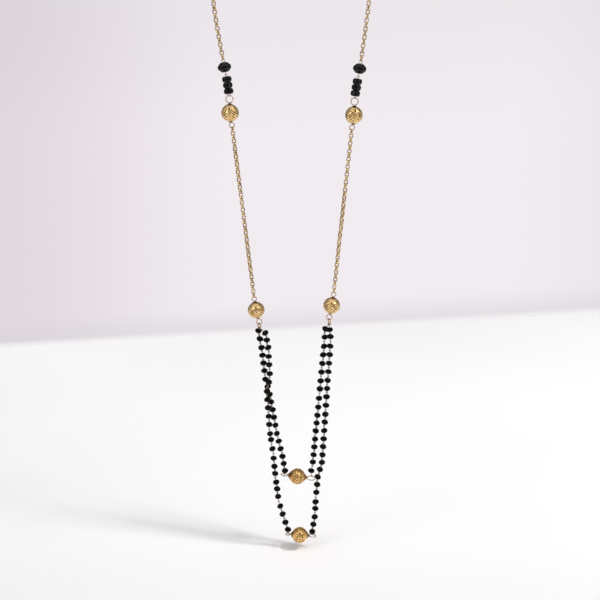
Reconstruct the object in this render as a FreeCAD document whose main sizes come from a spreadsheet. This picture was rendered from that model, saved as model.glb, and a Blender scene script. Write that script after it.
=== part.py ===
# Mangalsutra: a long necklace of fine gold chain, engraved gold balls and
# black beads, whose lower third is two strands of small black beads, each
# with a gold ball at its middle.  It hangs in the XZ plane, +Z up and +X to
# the right as seen from the front (the -Y side).  The origin is the underside
# of the clasp, where the necklace rests at the nape of the neck.
# All lengths are in millimetres.

import FreeCAD, Part
import math
import os
import sys
from FreeCAD import Vector, Rotation, Placement

doc = FreeCAD.newDocument("mangalsutra")

# --------------------------------------------------------------------------
# Driving sizes.  Each row: alias, value, what it is.
# --------------------------------------------------------------------------
SIZES = [
    ("ball_radius", 3.45, "outer radius of every gold ball"),
    ("ball_inner_radius", 3.10, "inside radius of the hollow ball"),
    ("ball_collar_face", 0.62, "end face of the collar round the wire hole"),
    ("ball_hole_radius", 0.30, "hole for the wire"),
    ("ball_wire_radius", 0.20, "wire through the ball and its loops"),
    ("large_bead_radius", 2.70, "large black bead, at its girdle"),
    ("large_bead_half", 1.90, "half thickness of the large black bead"),
    ("large_bead_table", 1.30, "flat round the hole of the large bead"),
    ("large_bead_girdle", 0.55, "half height of its girdle"),
    ("group_bead_radius", 1.90, "black bead of the groups of three"),
    ("group_bead_half", 1.12, "half thickness of the group bead"),
    ("group_bead_table", 1.30, "flat round the hole of the group bead"),
    ("group_bead_girdle", 0.50, "half height of its girdle"),
    ("group_pitch", 2.30, "spacing of the three beads on their wire"),
    ("bead_hole_radius", 0.22, "hole of the large and group beads"),
    ("bead_wire_radius", 0.14, "wire through the large and group beads"),
    ("small_bead_radius", 1.42, "small black bead of the two strands"),
    ("small_bead_half", 0.95, "half thickness of the small bead"),
    ("small_bead_table", 0.78, "flat round its hole"),
    ("small_bead_girdle", 0.26, "half height of its girdle"),
    ("thread_radius", 0.20, "thread of wire links joining the small beads"),
    ("strand_loop_radius", 0.50, "end loop of a strand, to its wire's centre"),
    ("strand_wire_radius", 0.14, "wire of that end loop"),
    ("chain_radius", 0.87, "envelope of the fine link chain"),
    ("link_radius", 0.565, "end link of a chain, to its wire's centre"),
    ("link_wire_radius", 0.26, "wire of the chain links"),
    ("joint_gap", 0.03, "play between two linked wires"),
    ("ring_wire_radius", 0.24, "wire of the junction rings"),
    ("clasp_radius", 2.35, "ring of the clasp, to its tube's centre"),
    ("clasp_tube_radius", 0.65, "tube of the clasp's ring"),
    ("clasp_loop_radius", 0.75, "fixed loop of the clasp"),
    ("clasp_wire_radius", 0.25, "wire of the fixed loop and of the end ring"),
    ("clasp_knob_radius", 0.55, "finger knob of the clasp"),
    ("clasp_knob_height", 1.10, "finger knob, above the tube's centre"),
    ("end_ring_radius", 1.35, "ring that the clasp closes on"),
    ("nape_radius", 32.0, "bend of the chain where it meets the clasp"),
]

# Gold balls.  Columns: name, x, y, z of the centre; lean of the wire axis
# about Y in degrees (0 stands up, 90 points right); then for the loop at the
# axis's plus end and at its minus end: outer diameter, swing in the local XZ
# plane in degrees, and turn of the loop's plane about the axis in degrees
# (0 faces the front); last the radius at which the sloping collar leaves the
# ball, and how far the collar's end face is from the ball's centre.
BALLS = [
    # name                x       y      z        lean   od+  sw+  tn+  od-  sw-   tn-  collar reach
    ("left_upper_ball", -24.10, 0.00, -96.15, -1.5, 3.2, 0.0, 0.0, 2.4, 34.0, 0.0, 0.90, 3.64),
    ("right_upper_ball", 24.60, 0.00, -97.05, 2.0, 3.2, 0.0, 0.0, 2.4, -32.0, 0.0, 0.90, 3.64),
    ("left_lower_ball", -14.60, 0.00, -175.90, -9.0, 2.3, 0.0, 0.0, 2.7, 21.0, 0.0, 0.90, 3.64),
    ("right_lower_ball", 16.40, 0.00, -174.00, 9.0, 2.3, 0.0, 0.0, 2.7, -9.0, 0.0, 0.90, 3.64),
    ("inner_centre_ball", 2.25, 1.40, -249.60, 98.0, 3.8, 0.0, 36.0, 3.1, 0.0, 90.0, 1.80, 4.10),
    ("outer_centre_ball", 3.30, -1.40, -275.50, 94.0, 3.2, 0.0, 90.0, 2.4, 0.0, 90.0, 1.50, 3.88),
]

# Wires with loops that carry the black beads of the upper part.  Columns:
# name, x, y, z of the middle, lean, half length that the beads take up,
# outer diameter of the upper and of the lower loop, turn of each loop.
BEAD_PINS = [
    # name                       x       y    z       lean   half  od+   od-   tn+   tn-
    ("left_group_wire", -24.83, 0.0, -85.55, -8.0, 3.44, 1.12, 1.12, 0.0, 90.0),
    ("right_group_wire", 25.42, 0.0, -86.42, 9.0, 3.44, 1.26, 1.12, 0.0, 90.0),
    ("left_large_wire", -26.00, 0.0, -78.69, -10.0, 1.92, 1.50, 1.12, 0.0, 90.0),
    ("right_large_wire", 26.63, 0.0, -79.25, 9.5, 1.92, 1.50, 1.26, 0.0, 90.0),
]

# Route of the neck chain, from the clasp down to the large bead: corners of
# its straight runs.  Columns: distance from the middle, z.
NECK_ROUTE = [
    # out     z
    (9.0, 1.7),
    (16.2, -1.9),
    (22.3, -7.6),
    (26.9, -14.9),
    (29.7, -23.9),
    (30.8, -33.7),
    (30.6, -46.0),
    (29.3, -60.2),
]

# Guide lines of the four strands of small beads: centres at which a strand
# bends, from its junction ring down to its centre ball.
# Columns: x, y, z.
INNER_LEFT = [
    (-13.7, 0.90, -185.3),
    (-12.6, 1.30, -192.3),
    (-11.5, 1.50, -202.3),
    (-11.1, 1.50, -206.3),
    (-9.6, 1.50, -211.1),
    (-8.2, 1.50, -219.4),
    (-6.4, 1.20, -230.1),
    (-4.0, 0.50, -240.4),
    (-3.0, 0.10, -246.5),
]
INNER_RIGHT = [
    (13.9, 1.25, -184.7),
    (13.4, 1.30, -191.7),
    (12.4, 1.40, -202.9),
    (11.1, 1.40, -218.3),
    (9.9, 1.10, -230.8),
    (9.0, 0.60, -242.0),
    (8.2, 0.40, -246.6),
]
OUTER_LEFT = [
    (-10.9, -0.90, -185.5),
    (-9.8, -1.30, -190.6),
    (-9.4, -1.50, -198.8),
    (-9.1, -1.50, -204.1),
    (-10.5, -1.50, -211.1),
    (-9.9, -1.50, -218.1),
    (-9.4, -1.50, -227.6),
    (-8.0, -1.50, -237.6),
    (-7.0, -1.50, -249.1),
    (-5.7, -1.20, -259.8),
    (-3.6, -0.75, -267.9),
    (-1.9, -0.40, -273.1),
]
OUTER_RIGHT = [
    (15.6, -1.25, -184.3),
    (16.0, -1.35, -187.6),
    (15.7, -1.50, -194.4),
    (14.9, -1.50, -205.6),
    (14.2, -1.50, -217.6),
    (13.3, -1.50, -232.6),
    (12.7, -1.50, -242.0),
    (11.0, -1.45, -248.5),
    (10.1, -1.10, -259.1),
    (9.9, -0.60, -266.1),
    (8.7, -0.05, -274.4),
]
# Strands.  Columns: name, guide line, and for each bead how far it sits
# below its even place along the guide line.
STRANDS = [
    ("inner_strand_left", INNER_LEFT, [
        -0.40, -0.25, 0.14, 0.01, -0.02, -0.09, 0.23, 0.08, 0.21, 0.07,
        0.12, 0.10, 0.19, 0.42, 0.44, 0.42, 0.41, 0.19, -0.08]),
    ("inner_strand_right", INNER_RIGHT, [
        -0.45, -0.62, -0.29, -0.25, -0.11, 0.00, 0.21, 0.08, 0.58, 0.83,
        0.81, 0.58, 0.44, 0.40, 0.25, 0.12, -0.30, -0.05]),
    ("outer_strand_left", OUTER_LEFT, [
        -0.14, -0.79, -1.24, -1.13, -1.30, -1.10, -1.12, -0.68, -0.82, -0.80,
        -0.74, -0.79, -0.37, -1.40, -0.97, -0.37, -0.39, -0.80, -0.53, -1.08,
        -1.21, -0.26, -0.03, 0.40, 0.35]),
    ("outer_strand_right", OUTER_RIGHT, [
        -0.41, -1.12, -0.66, -0.65, -0.56, -0.50, -0.34, -0.42, -0.41, -0.29,
        0.06, -0.10, 0.06, 0.10, -0.02, 0.06, -0.12, -0.45, -0.59, -0.63,
        -0.61, 0.22, -0.22, 0.20, 0.23, 0.15]),
]
# Junction rings.  Columns: name, ball it hangs from, outer diameter, turn.
JUNCTIONS = [
    ("left_junction_ring", "left_lower_ball", 2.4, -50.0),
    ("right_junction_ring", "right_lower_ball", 2.8, -70.0),
]

# --------------------------------------------------------------------------
# The sheet of sizes
# --------------------------------------------------------------------------
sheet = doc.addObject("Spreadsheet::Sheet", "Sizes")
sheet.set("A1", "name")
sheet.set("B1", "value")
sheet.set("C1", "meaning")
row_no = 2


def put(alias, value, note):
    """One line of the sheet: a plain number with an alias."""
    global row_no
    sheet.set("A%d" % row_no, alias)
    sheet.set("B%d" % row_no, repr(float(value)))
    sheet.setAlias("B%d" % row_no, alias)
    sheet.set("C%d" % row_no, note)
    row_no += 1


for alias, value, note in SIZES:
    put(alias, value, note)
for row in BALLS:
    for key, value in zip(("x", "y", "z", "lean"), row[1:5]):
        put("%s_%s" % (row[0], key), value, "place of the " + row[0])
    put(row[0] + "_collar", row[11], "foot of the collar of the " + row[0])
    put(row[0] + "_reach", row[12], "collar face of the " + row[0])
for row in BEAD_PINS:
    for key, value in zip(("x", "y", "z", "lean"), row[1:5]):
        put("%s_%s" % (row[0], key), value, "place of the " + row[0])
doc.recompute()


def size(alias):
    return float(sheet.get(alias))


nodes = []          # the finished pieces, in order


def finish_piece(obj, label):
    obj.Label = label
    nodes.append(obj)
    return obj


def place(obj, name, shift=0.0):
    """Put a piece on the station called name, shift mm along its axis."""
    lean = size(name + "_lean")
    obj.Placement = Placement(
        Vector(size(name + "_x"), size(name + "_y"), size(name + "_z")),
        Rotation(Vector(0, 1, 0), lean))
    if shift:
        dx = shift * math.sin(math.radians(lean))
        dz = shift * math.cos(math.radians(lean))
        obj.setExpression("Placement.Base.x", "Sizes.%s_x + %.6f" % (name, dx))
        obj.setExpression("Placement.Base.z", "Sizes.%s_z + %.6f" % (name, dz))
    else:
        obj.setExpression("Placement.Base.x", "Sizes.%s_x" % name)
        obj.setExpression("Placement.Base.z", "Sizes.%s_z" % name)
    obj.setExpression("Placement.Base.y", "Sizes.%s_y" % name)


def origin_plane(body, role):
    for feature in body.Origin.OriginFeatures:
        if feature.Role == role:
            return feature
    raise RuntimeError("no plane " + role)


def revolved_body(name, geometry, constraints):
    """A body turned about its own Z axis from one profile."""
    body = doc.addObject("PartDesign::Body", name)
    sketch = body.newObject("Sketcher::SketchObject", name + "_profile")
    sketch.AttachmentSupport = (origin_plane(body, "XZ_Plane"), [""])
    sketch.MapMode = "FlatFace"
    sketch.addGeometry(geometry, False)
    import Sketcher
    for number, item in enumerate(constraints):
        args, formula = item
        index = sketch.addConstraint(Sketcher.Constraint(*args))
        if formula:
            word = "size_%d" % number
            sketch.renameConstraint(index, word)
            sketch.setExpression("Constraints." + word, formula)
    turned = body.newObject("PartDesign::Revolution", name + "_turned")
    turned.Profile = sketch
    turned.ReferenceAxis = (sketch, ["V_Axis"])
    turned.Angle = 360.0
    body.Tip = turned
    return body


# --------------------------------------------------------------------------
# Gold balls: thin hollow spheres with a sloping collar round each wire hole
# --------------------------------------------------------------------------
def gold_ball(name):
    ro = size("ball_radius")
    ri = size("ball_inner_radius")
    rf = size("ball_collar_face")
    rc = size(name + "_collar")
    hc = size(name + "_reach")
    rh = size("ball_hole_radius")
    zs = math.sqrt(ro * ro - rc * rc)
    zi = math.sqrt(ri * ri - rh * rh)
    up = Vector(0, 0, 1)
    outer = Part.ArcOfCircle(Part.Circle(Vector(0, 0, 0), up, ro),
                             -math.asin(zs / ro), math.asin(zs / ro))
    inner = Part.ArcOfCircle(Part.Circle(Vector(0, 0, 0), up, ri),
                             -math.asin(zi / ri), math.asin(zi / ri))

    def line(ax, ay, bx, by):
        return Part.LineSegment(Vector(ax, ay, 0), Vector(bx, by, 0))

    geometry = [
        line(rh, hc, rf, hc),            # 0 upper collar face
        line(rf, hc, rc, zs),            # 1 upper collar side
        outer,                           # 2 outside, from low to high
        line(rc, -zs, rf, -hc),          # 3 lower collar side
        line(rf, -hc, rh, -hc),          # 4 lower collar face
        line(rh, -hc, rh, -zi),          # 5 lower hole
        inner,                           # 6 inside, from low to high
        line(rh, zi, rh, hc),            # 7 upper hole
    ]
    constraints = [
        (("Coincident", 0, 2, 1, 1), None),
        (("Coincident", 1, 2, 2, 2), None),
        (("Coincident", 2, 1, 3, 1), None),
        (("Coincident", 3, 2, 4, 1), None),
        (("Coincident", 4, 2, 5, 1), None),
        (("Coincident", 5, 2, 6, 1), None),
        (("Coincident", 6, 2, 7, 1), None),
        (("Coincident", 7, 2, 0, 1), None),
        (("Coincident", 2, 3, -1, 1), None),
        (("Coincident", 6, 3, -1, 1), None),
        (("Horizontal", 0), None),
        (("Horizontal", 4), None),
        (("Vertical", 5), None),
        (("Vertical", 7), None),
        (("Radius", 2, ro), "Sizes.ball_radius"),
        (("Radius", 6, ri), "Sizes.ball_inner_radius"),
        (("DistanceX", -1, 1, 0, 1, rh), "Sizes.ball_hole_radius"),
        (("DistanceX", -1, 1, 4, 2, rh), "Sizes.ball_hole_radius"),
        (("DistanceX", -1, 1, 0, 2, rf), "Sizes.ball_collar_face"),
        (("DistanceX", -1, 1, 4, 1, rf), "Sizes.ball_collar_face"),
        (("DistanceX", -1, 1, 1, 2, rc), "Sizes.%s_collar" % name),
        (("DistanceX", -1, 1, 3, 1, rc), "Sizes.%s_collar" % name),
        (("DistanceY", -1, 1, 0, 1, hc), "Sizes.%s_reach" % name),
        (("DistanceY", 4, 2, -1, 1, hc), "Sizes.%s_reach" % name),
    ]
    body = revolved_body(name, geometry, constraints)
    place(body, name)
    return finish_piece(body, name)


# --------------------------------------------------------------------------
# Black beads with a hole: flat table, sloping crown, upright girdle
# --------------------------------------------------------------------------
def black_bead(name, kind, station, shift):
    hole = size("bead_hole_radius")
    table = size(kind + "_table")
    wide = size(kind + "_radius")
    half = size(kind + "_half")
    girdle = size(kind + "_girdle")
    points = [(hole, half), (table, half), (wide, girdle), (wide, -girdle),
              (table, -half), (hole, -half)]
    geometry = []
    for k in range(6):
        a, b = points[k], points[(k + 1) % 6]
        geometry.append(Part.LineSegment(Vector(a[0], a[1], 0),
                                         Vector(b[0], b[1], 0)))
    constraints = [(("Coincident", k, 2, (k + 1) % 6, 1), None)
                   for k in range(6)]
    constraints += [
        (("Horizontal", 0), None),
        (("Vertical", 2), None),
        (("Horizontal", 4), None),
        (("Vertical", 5), None),
        (("DistanceX", -1, 1, 0, 1, hole), "Sizes.bead_hole_radius"),
        (("DistanceX", -1, 1, 0, 2, table), "Sizes.%s_table" % kind),
        (("DistanceX", -1, 1, 2, 1, wide), "Sizes.%s_radius" % kind),
        (("DistanceX", -1, 1, 4, 1, table), "Sizes.%s_table" % kind),
        (("DistanceY", -1, 1, 0, 1, half), "Sizes.%s_half" % kind),
        (("DistanceY", -1, 1, 2, 1, girdle), "Sizes.%s_girdle" % kind),
        (("DistanceY", 2, 2, -1, 1, girdle), "Sizes.%s_girdle" % kind),
        (("DistanceY", 4, 2, -1, 1, half), "Sizes.%s_half" % kind),
    ]
    body = revolved_body(name, geometry, constraints)
    place(body, station, shift)
    return finish_piece(body, name)


# --------------------------------------------------------------------------
# Wires with a loop at each end
# --------------------------------------------------------------------------
def turned_ring(turn):
    """Rotation that stands a ring up along Z, its plane turned about Z."""
    return Rotation(Vector(0, 0, 1), turn) * Rotation(Vector(1, 0, 0), 90)


def loop_centre_local(half, od, swing, wire, sign):
    """Centre of a loop that starts at the end of a straight wire.
    half is where the wire leaves its ball or bead."""
    ring = od / 2.0 - wire
    tilt = math.radians(swing)
    end = half + wire + ring * (1 - math.cos(tilt))
    return (Vector(ring * math.sin(tilt), 0,
                   sign * (end + ring * math.cos(tilt))), end, ring)


def looped_wire(name, station, half, plus, minus, wire_alias):
    """plus and minus: outer diameter, swing and turn of that end's loop."""
    wire = size(wire_alias)
    parts = []
    ends = []
    for sign, (od, swing, turn), word in ((1, plus, "upper"),
                                          (-1, minus, "lower")):
        centre, end, ring = loop_centre_local(half, od, swing, wire, sign)
        ends.append(end)
        torus = doc.addObject("Part::Torus", "%s_%s_loop" % (name, word))
        torus.Label = "%s_%s_loop" % (name, word)
        torus.setExpression("Radius1", "%.6f - Sizes.%s"
                            % (od / 2.0, wire_alias))
        torus.setExpression("Radius2", "Sizes.%s" % wire_alias)
        torus.Placement = Placement(centre, turned_ring(turn))
        parts.append(torus)
    shaft = doc.addObject("Part::Cylinder", name + "_shaft")
    shaft.Label = name + "_shaft"
    shaft.setExpression("Radius", "Sizes.%s" % wire_alias)
    shaft.Height = ends[0] + ends[1]
    shaft.Placement = Placement(Vector(0, 0, -ends[1]), Rotation())
    parts.append(shaft)
    fused = doc.addObject("Part::MultiFuse", name)
    fused.Shapes = parts
    place(fused, station)
    return finish_piece(fused, name)


# --------------------------------------------------------------------------
# Stations of the upper part and both centre balls
# --------------------------------------------------------------------------
for row in BALLS:
    gold_ball(row[0])
    looped_wire(row[0] + "_wire", row[0], size(row[0] + "_reach")
                + size("joint_gap"), row[5:8], row[8:11], "ball_wire_radius")

for side in ("left", "right"):
    group = side + "_group_wire"
    for number, shift in ((1, size("group_pitch")), (2, 0.0),
                          (3, -size("group_pitch"))):
        black_bead("%s_group_bead_%d" % (side, number), "group_bead",
                   group, shift)
    black_bead(side + "_large_bead", "large_bead", side + "_large_wire", 0.0)
for row in BEAD_PINS:
    looped_wire(row[0], row[0], row[5], (row[6], 0.0, row[8]),
                (row[7], 0.0, row[9]), "bead_wire_radius")


def station_point(name, local):
    lean = Rotation(Vector(0, 1, 0), size(name + "_lean"))
    return Vector(size(name + "_x"), size(name + "_y"),
                  size(name + "_z")) + lean.multVec(local)


ball_row = {row[0]: row for row in BALLS}
pin_row = {row[0]: row for row in BEAD_PINS}


def ball_loop(name, sign):
    """Centre and wire radius line of a ball's loop, in the row's frame."""
    row = ball_row[name]
    od, swing = (row[5], row[6]) if sign > 0 else (row[8], row[9])
    centre, end, ring = loop_centre_local(
        size(name + "_reach") + size("joint_gap"), od, swing,
        size("ball_wire_radius"), sign)
    return station_point(name, centre), ring


# --------------------------------------------------------------------------
# Straight chains between the upper and the lower balls
# --------------------------------------------------------------------------
def link_on(point, direction, wire_held):
    """Centre of the end link that hangs on a wire at point and leads along
    direction, and the place where the chain's envelope starts."""
    inset = size("link_radius") - (wire_held + size("link_wire_radius")
                                   + size("joint_gap"))
    centre = point + direction * inset
    return centre, centre + direction * size("link_radius")


def upright(direction, turn):
    """Rotation that takes Z to direction, then stands a ring along it."""
    return Rotation(Vector(0, 0, 1), direction) * turned_ring(turn)


for side in ("left", "right"):
    name = side + "_chain"
    top, top_ring = ball_loop(side + "_upper_ball", -1)
    low, low_ring = ball_loop(side + "_lower_ball", 1)
    down = (low - top).normalize()
    a, tube_a = link_on(top + down * top_ring, down, size("ball_wire_radius"))
    b, tube_b = link_on(low - down * low_ring, down * -1.0,
                        size("ball_wire_radius"))
    tube = doc.addObject("Part::Cylinder", name + "_run")
    tube.Label = name + "_run"
    tube.setExpression("Radius", "Sizes.chain_radius")
    tube.Height = (tube_b - tube_a).Length
    tube.Placement = Placement(tube_a, Rotation(Vector(0, 0, 1), down))
    parts = [tube]
    for word, centre in (("upper", a), ("lower", b)):
        link = doc.addObject("Part::Torus", "%s_%s_link" % (name, word))
        link.Label = "%s_%s_link" % (name, word)
        link.setExpression("Radius1", "Sizes.link_radius")
        link.setExpression("Radius2", "Sizes.link_wire_radius")
        link.Placement = Placement(centre, upright(down, 90))
        parts.append(link)
    fused = doc.addObject("Part::MultiFuse", name)
    fused.Shapes = parts
    finish_piece(fused, name)
    print("%s run %.2f mm, lean %.2f deg" % (
        name, tube.Height.Value, math.degrees(math.atan2(down.x, -down.z))))

# --------------------------------------------------------------------------
# Clasp at the nape, with the ring that it closes on
# --------------------------------------------------------------------------
clasp_z = size("clasp_radius") + size("clasp_tube_radius")
bend = size("nape_radius")


def nape(run):
    """Point of the neck line, run mm to the right of the clasp's middle,
    and the turn about Y there."""
    turn = run / bend
    return (Vector(bend * math.sin(turn), 0,
                   clasp_z - bend * (1 - math.cos(turn))), math.degrees(turn))


hoop = doc.addObject("Part::Torus", "clasp_hoop")
hoop.Label = "clasp_hoop"
hoop.setExpression("Radius1", "Sizes.clasp_radius")
hoop.setExpression("Radius2", "Sizes.clasp_tube_radius")
hoop.Placement = Placement(Vector(0, 0, clasp_z), turned_ring(0))
fixed_run = -(size("clasp_radius") + size("clasp_tube_radius")
              + size("clasp_loop_radius") - size("clasp_wire_radius") * 0.4)
fixed_at, fixed_turn = nape(fixed_run)
fixed = doc.addObject("Part::Torus", "clasp_fixed_loop")
fixed.Label = "clasp_fixed_loop"
fixed.setExpression("Radius1", "Sizes.clasp_loop_radius")
fixed.setExpression("Radius2", "Sizes.clasp_wire_radius")
fixed.Placement = Placement(fixed_at, turned_ring(0))
knob = doc.addObject("Part::Cylinder", "clasp_knob")
knob.Label = "clasp_knob"
knob.setExpression("Radius", "Sizes.clasp_knob_radius")
knob.setExpression("Height", "Sizes.clasp_knob_height")
knob_turn = math.radians(35)
knob.Placement = Placement(
    Vector(size("clasp_radius") * math.sin(knob_turn), 0,
           clasp_z + size("clasp_radius") * math.cos(knob_turn)),
    Rotation(Vector(0, 1, 0), 35))
clasp = doc.addObject("Part::MultiFuse", "clasp")
clasp.Shapes = [hoop, fixed, knob]
finish_piece(clasp, "clasp")

ring_run = (size("clasp_radius") - size("clasp_tube_radius")
            - size("clasp_wire_radius") - 0.05 + size("end_ring_radius"))
ring_at, ring_turn = nape(ring_run)
end_ring = doc.addObject("Part::Torus", "clasp_end_ring")
end_ring.setExpression("Radius1", "Sizes.end_ring_radius")
end_ring.setExpression("Radius2", "Sizes.clasp_wire_radius")
end_ring.Placement = Placement(ring_at, Rotation(Vector(0, 1, 0), ring_turn))
finish_piece(end_ring, "clasp_end_ring")


# --------------------------------------------------------------------------
# Neck chains: one tube along the route, straight runs joined by tangent
# arcs, with an end link at each end
# --------------------------------------------------------------------------
def runs_and_arcs(points):
    """Wire of straight runs joined by tangent arcs, each arc as large as
    0.45 of the shorter of its two runs allows."""
    edges = []
    radii = []
    start = points[0]
    for k in range(1, len(points) - 1):
        into = (points[k] - points[k - 1])
        out = (points[k + 1] - points[k])
        shorter = min(into.Length, out.Length)
        reach = 0.45 * shorter
        turn = into.getAngle(out)
        radius = reach / math.tan(turn / 2.0)
        into = into.normalize()
        out = out.normalize()
        a = points[k] - into * reach
        b = points[k] + out * reach
        inward = (out - into).normalize()
        centre = points[k] + inward * (radius / math.cos(turn / 2.0))
        middle = centre - inward * radius
        edges.append(Part.LineSegment(start, a).toShape())
        edges.append(Part.Arc(a, middle, b).toShape())
        radii.append(radius)
        start = b
    edges.append(Part.LineSegment(start, points[-1]).toShape())
    return Part.Wire(edges), radii


def torus_at(centre, rotation, ring, wire):
    shape = Part.makeTorus(ring, wire)
    shape.Placement = Placement(centre, rotation)
    return shape


for side, sign in (("left", -1.0), ("right", 1.0)):
    name = side + "_neck_chain"
    # lower end: on the upper loop of the large bead's wire
    row = pin_row[side + "_large_wire"]
    centre, end, ring = loop_centre_local(row[5], row[6], 0.0,
                                          size("bead_wire_radius"), 1)
    loop = station_point(row[0], centre)
    corners = [Vector(sign * out, 0, z) for out, z in NECK_ROUTE]
    low_hold = loop + (corners[-1] - loop).normalize() * ring
    up = (corners[-1] - low_hold).normalize()
    low_link, low_tube = link_on(low_hold, up, size("bead_wire_radius"))
    # upper end: on the clasp's fixed loop or on its end ring
    if side == "left":
        held = nape(fixed_run - size("clasp_loop_radius"))[0]
    else:
        held = nape(ring_run + size("end_ring_radius"))[0]
    away = (corners[0] - held).normalize()
    top_link, top_tube = link_on(held, away, size("clasp_wire_radius"))
    points = [top_tube] + corners + [low_tube]
    wire, radii = runs_and_arcs(points)
    first = (points[1] - points[0]).normalize()
    last = (points[-1] - points[-2]).normalize()
    circle = Part.Wire([Part.Circle(points[0], first,
                                    size("chain_radius")).toShape()])
    tube = wire.makePipeShell([circle], True, True)
    area = math.pi * size("chain_radius") ** 2
    print("%s length %.2f mm, volume / (section x length) = %.4f" % (
        name, wire.Length, tube.Volume / (area * wire.Length)))
    print("   radii", " ".join("%.1f" % r for r in radii),
          " last run %.2f" % (points[-1] - points[-2]).Length)
    print("   route", " ".join("(%.3f, %.3f)" % (p.x, p.z) for p in points))
    links = [torus_at(low_link, upright(up, 90), size("link_radius"),
                      size("link_wire_radius")),
             torus_at(top_link, upright(away, 0 if side == "right" else 90),
                      size("link_radius"), size("link_wire_radius"))]
    chain = doc.addObject("Part::Feature", name)
    chain.Shape = tube.multiFuse(links)
    finish_piece(chain, name)

# --------------------------------------------------------------------------
# Junction rings: the two strands of each side meet here
# --------------------------------------------------------------------------
junction_low = {}
for name, ball, od, turn in JUNCTIONS:
    loop, ring = ball_loop(ball, -1)
    wire = size("ring_wire_radius")
    radius = od / 2.0 - wire
    top = loop.z - ring + size("ball_wire_radius") + wire + size("joint_gap")
    hoop = doc.addObject("Part::Torus", name)
    hoop.setExpression("Radius1", "%.6f - Sizes.ring_wire_radius" % (od / 2.0))
    hoop.setExpression("Radius2", "Sizes.ring_wire_radius")
    hoop.Placement = Placement(Vector(loop.x, loop.y, top - radius),
                               turned_ring(turn))
    finish_piece(hoop, name)
    junction_low[name.split("_")[0]] = (
        Vector(loop.x, loop.y, top - 2 * radius), turn)


# --------------------------------------------------------------------------
# Strands: small black beads joined along their thread
# --------------------------------------------------------------------------
def along(points, shifts):
    """A place for each shift, evenly spaced along the guide line but for
    that shift; a run past either end goes straight on."""
    count = len(shifts)
    lengths = [0.0]
    for a, b in zip(points, points[1:]):
        lengths.append(lengths[-1] + (b - a).Length)
    places = []
    k = 0
    for i in range(count):
        run = lengths[-1] * i / (count - 1) + shifts[i]
        while k < len(points) - 2 and run > lengths[k + 1]:
            k += 1
        part = (run - lengths[k]) / (lengths[k + 1] - lengths[k])
        places.append(points[k] + (points[k + 1] - points[k]) * part)
    return places, lengths[-1]


def small_bead():
    wide = size("small_bead_radius")
    half = size("small_bead_half")
    table = size("small_bead_table")
    girdle = size("small_bead_girdle")
    outline = Part.makePolygon([
        Vector(0, 0, -half), Vector(table, 0, -half), Vector(wide, 0, -girdle),
        Vector(wide, 0, girdle), Vector(table, 0, half), Vector(0, 0, half),
        Vector(0, 0, -half)])
    return Part.Face(outline).revolve(Vector(0, 0, 0), Vector(0, 0, 1), 360)


def thread(a, b, radius):
    return Part.makeCylinder(radius, (b - a).Length, a, b - a)


def ring_hold(strand):
    """Place of the wire that a strand's lower loop hangs on: x, y, z."""
    ball = "inner_centre_ball" if strand.startswith("inner") \
        else "outer_centre_ball"
    sign = 1 if strand.endswith("right") else -1
    row = ball_row[ball]
    turn = math.radians(row[7] if sign > 0 else row[10])
    centre, ring = ball_loop(ball, sign)
    lean = Rotation(Vector(0, 1, 0), size(ball + "_lean"))
    across = lean.multVec(Vector(math.cos(turn), math.sin(turn), 0))
    # the inner ball hangs by the front of its loops, the outer by the back
    if strand.startswith("inner"):
        return centre - across * ring
    return centre + across * ring


bead_shape = small_bead()
for name, guide, shifts in STRANDS:
    side = name.split("_")[2]
    places, length = along([Vector(*p) for p in guide], shifts)
    ring = size("strand_loop_radius")
    wire = size("strand_wire_radius")
    play = size("joint_gap")
    # upper loop, in the junction ring
    low, turn = junction_low[side]
    rad = math.radians(turn)
    shift = 0.25 if name.startswith("outer") else -0.25
    hang = low + Vector(math.cos(rad), math.sin(rad), 0) * shift
    upper = hang + Vector(0, 0, size("ring_wire_radius") + wire
                          + 3 * play - ring)
    upper_end = upper - Vector(0, 0, ring)
    # lower loop, round the ball's loop
    held = ring_hold(name)
    lower = held + Vector(0, 0, ring - (size("ball_wire_radius") + wire + play))
    lower_end = lower + Vector(0, 0, ring)
    pieces = [torus_at(upper, turned_ring(turn + 90), ring, wire),
              torus_at(lower, turned_ring(90), ring, wire),
              thread(upper_end, places[0], wire),
              thread(places[-1], lower_end, wire)]
    route = [upper_end] + places + [lower_end]
    for k, at in enumerate(places):
        tangent = route[k + 2] - route[k]
        bead = bead_shape.copy()
        bead.Placement = Placement(at, Rotation(Vector(0, 0, 1), tangent))
        pieces.append(bead)
        if k:
            pieces.append(thread(places[k - 1], at, size("thread_radius")))
    strand = doc.addObject("Part::Feature", name)
    strand.Shape = pieces[0].multiFuse(pieces[1:])
    finish_piece(strand, name)
    print("%s %.2f mm, pitch %.3f, volume %.2f, solids %d, ends %.2f %.2f" % (
        name, length, length / (len(shifts) - 1), strand.Shape.Volume,
        len(strand.Shape.Solids), (places[0] - upper_end).Length,
        (places[-1] - lower_end).Length))

# --------------------------------------------------------------------------
# Check every object, then write each piece
# --------------------------------------------------------------------------
doc.recompute()
bad = []
for obj in doc.Objects:
    if "Invalid" in obj.State or "Error" in obj.State:
        bad.append("%s: %s" % (obj.Name, obj.State))
for obj in nodes:
    shape = obj.Shape
    if shape.isNull() or not shape.isValid() or len(shape.Solids) != 1:
        bad.append("%s: shape null, invalid or not one solid" % obj.Label)
if len(set(obj.Label for obj in nodes)) != len(nodes):
    bad.append("labels repeat")
if bad:
    print("\n".join(bad))
    sys.exit(1)

os.makedirs("parts", exist_ok=True)
for obj in nodes:
    obj.Shape.exportStep("parts/%s.step" % obj.Label)
total = sum(obj.Shape.Volume for obj in nodes)
print("%d pieces, %.1f mm3 in all" % (len(nodes), total))
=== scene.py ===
import math
import random

import bmesh
import bpy
import numpy as np
from mathutils import Matrix, Vector


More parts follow.
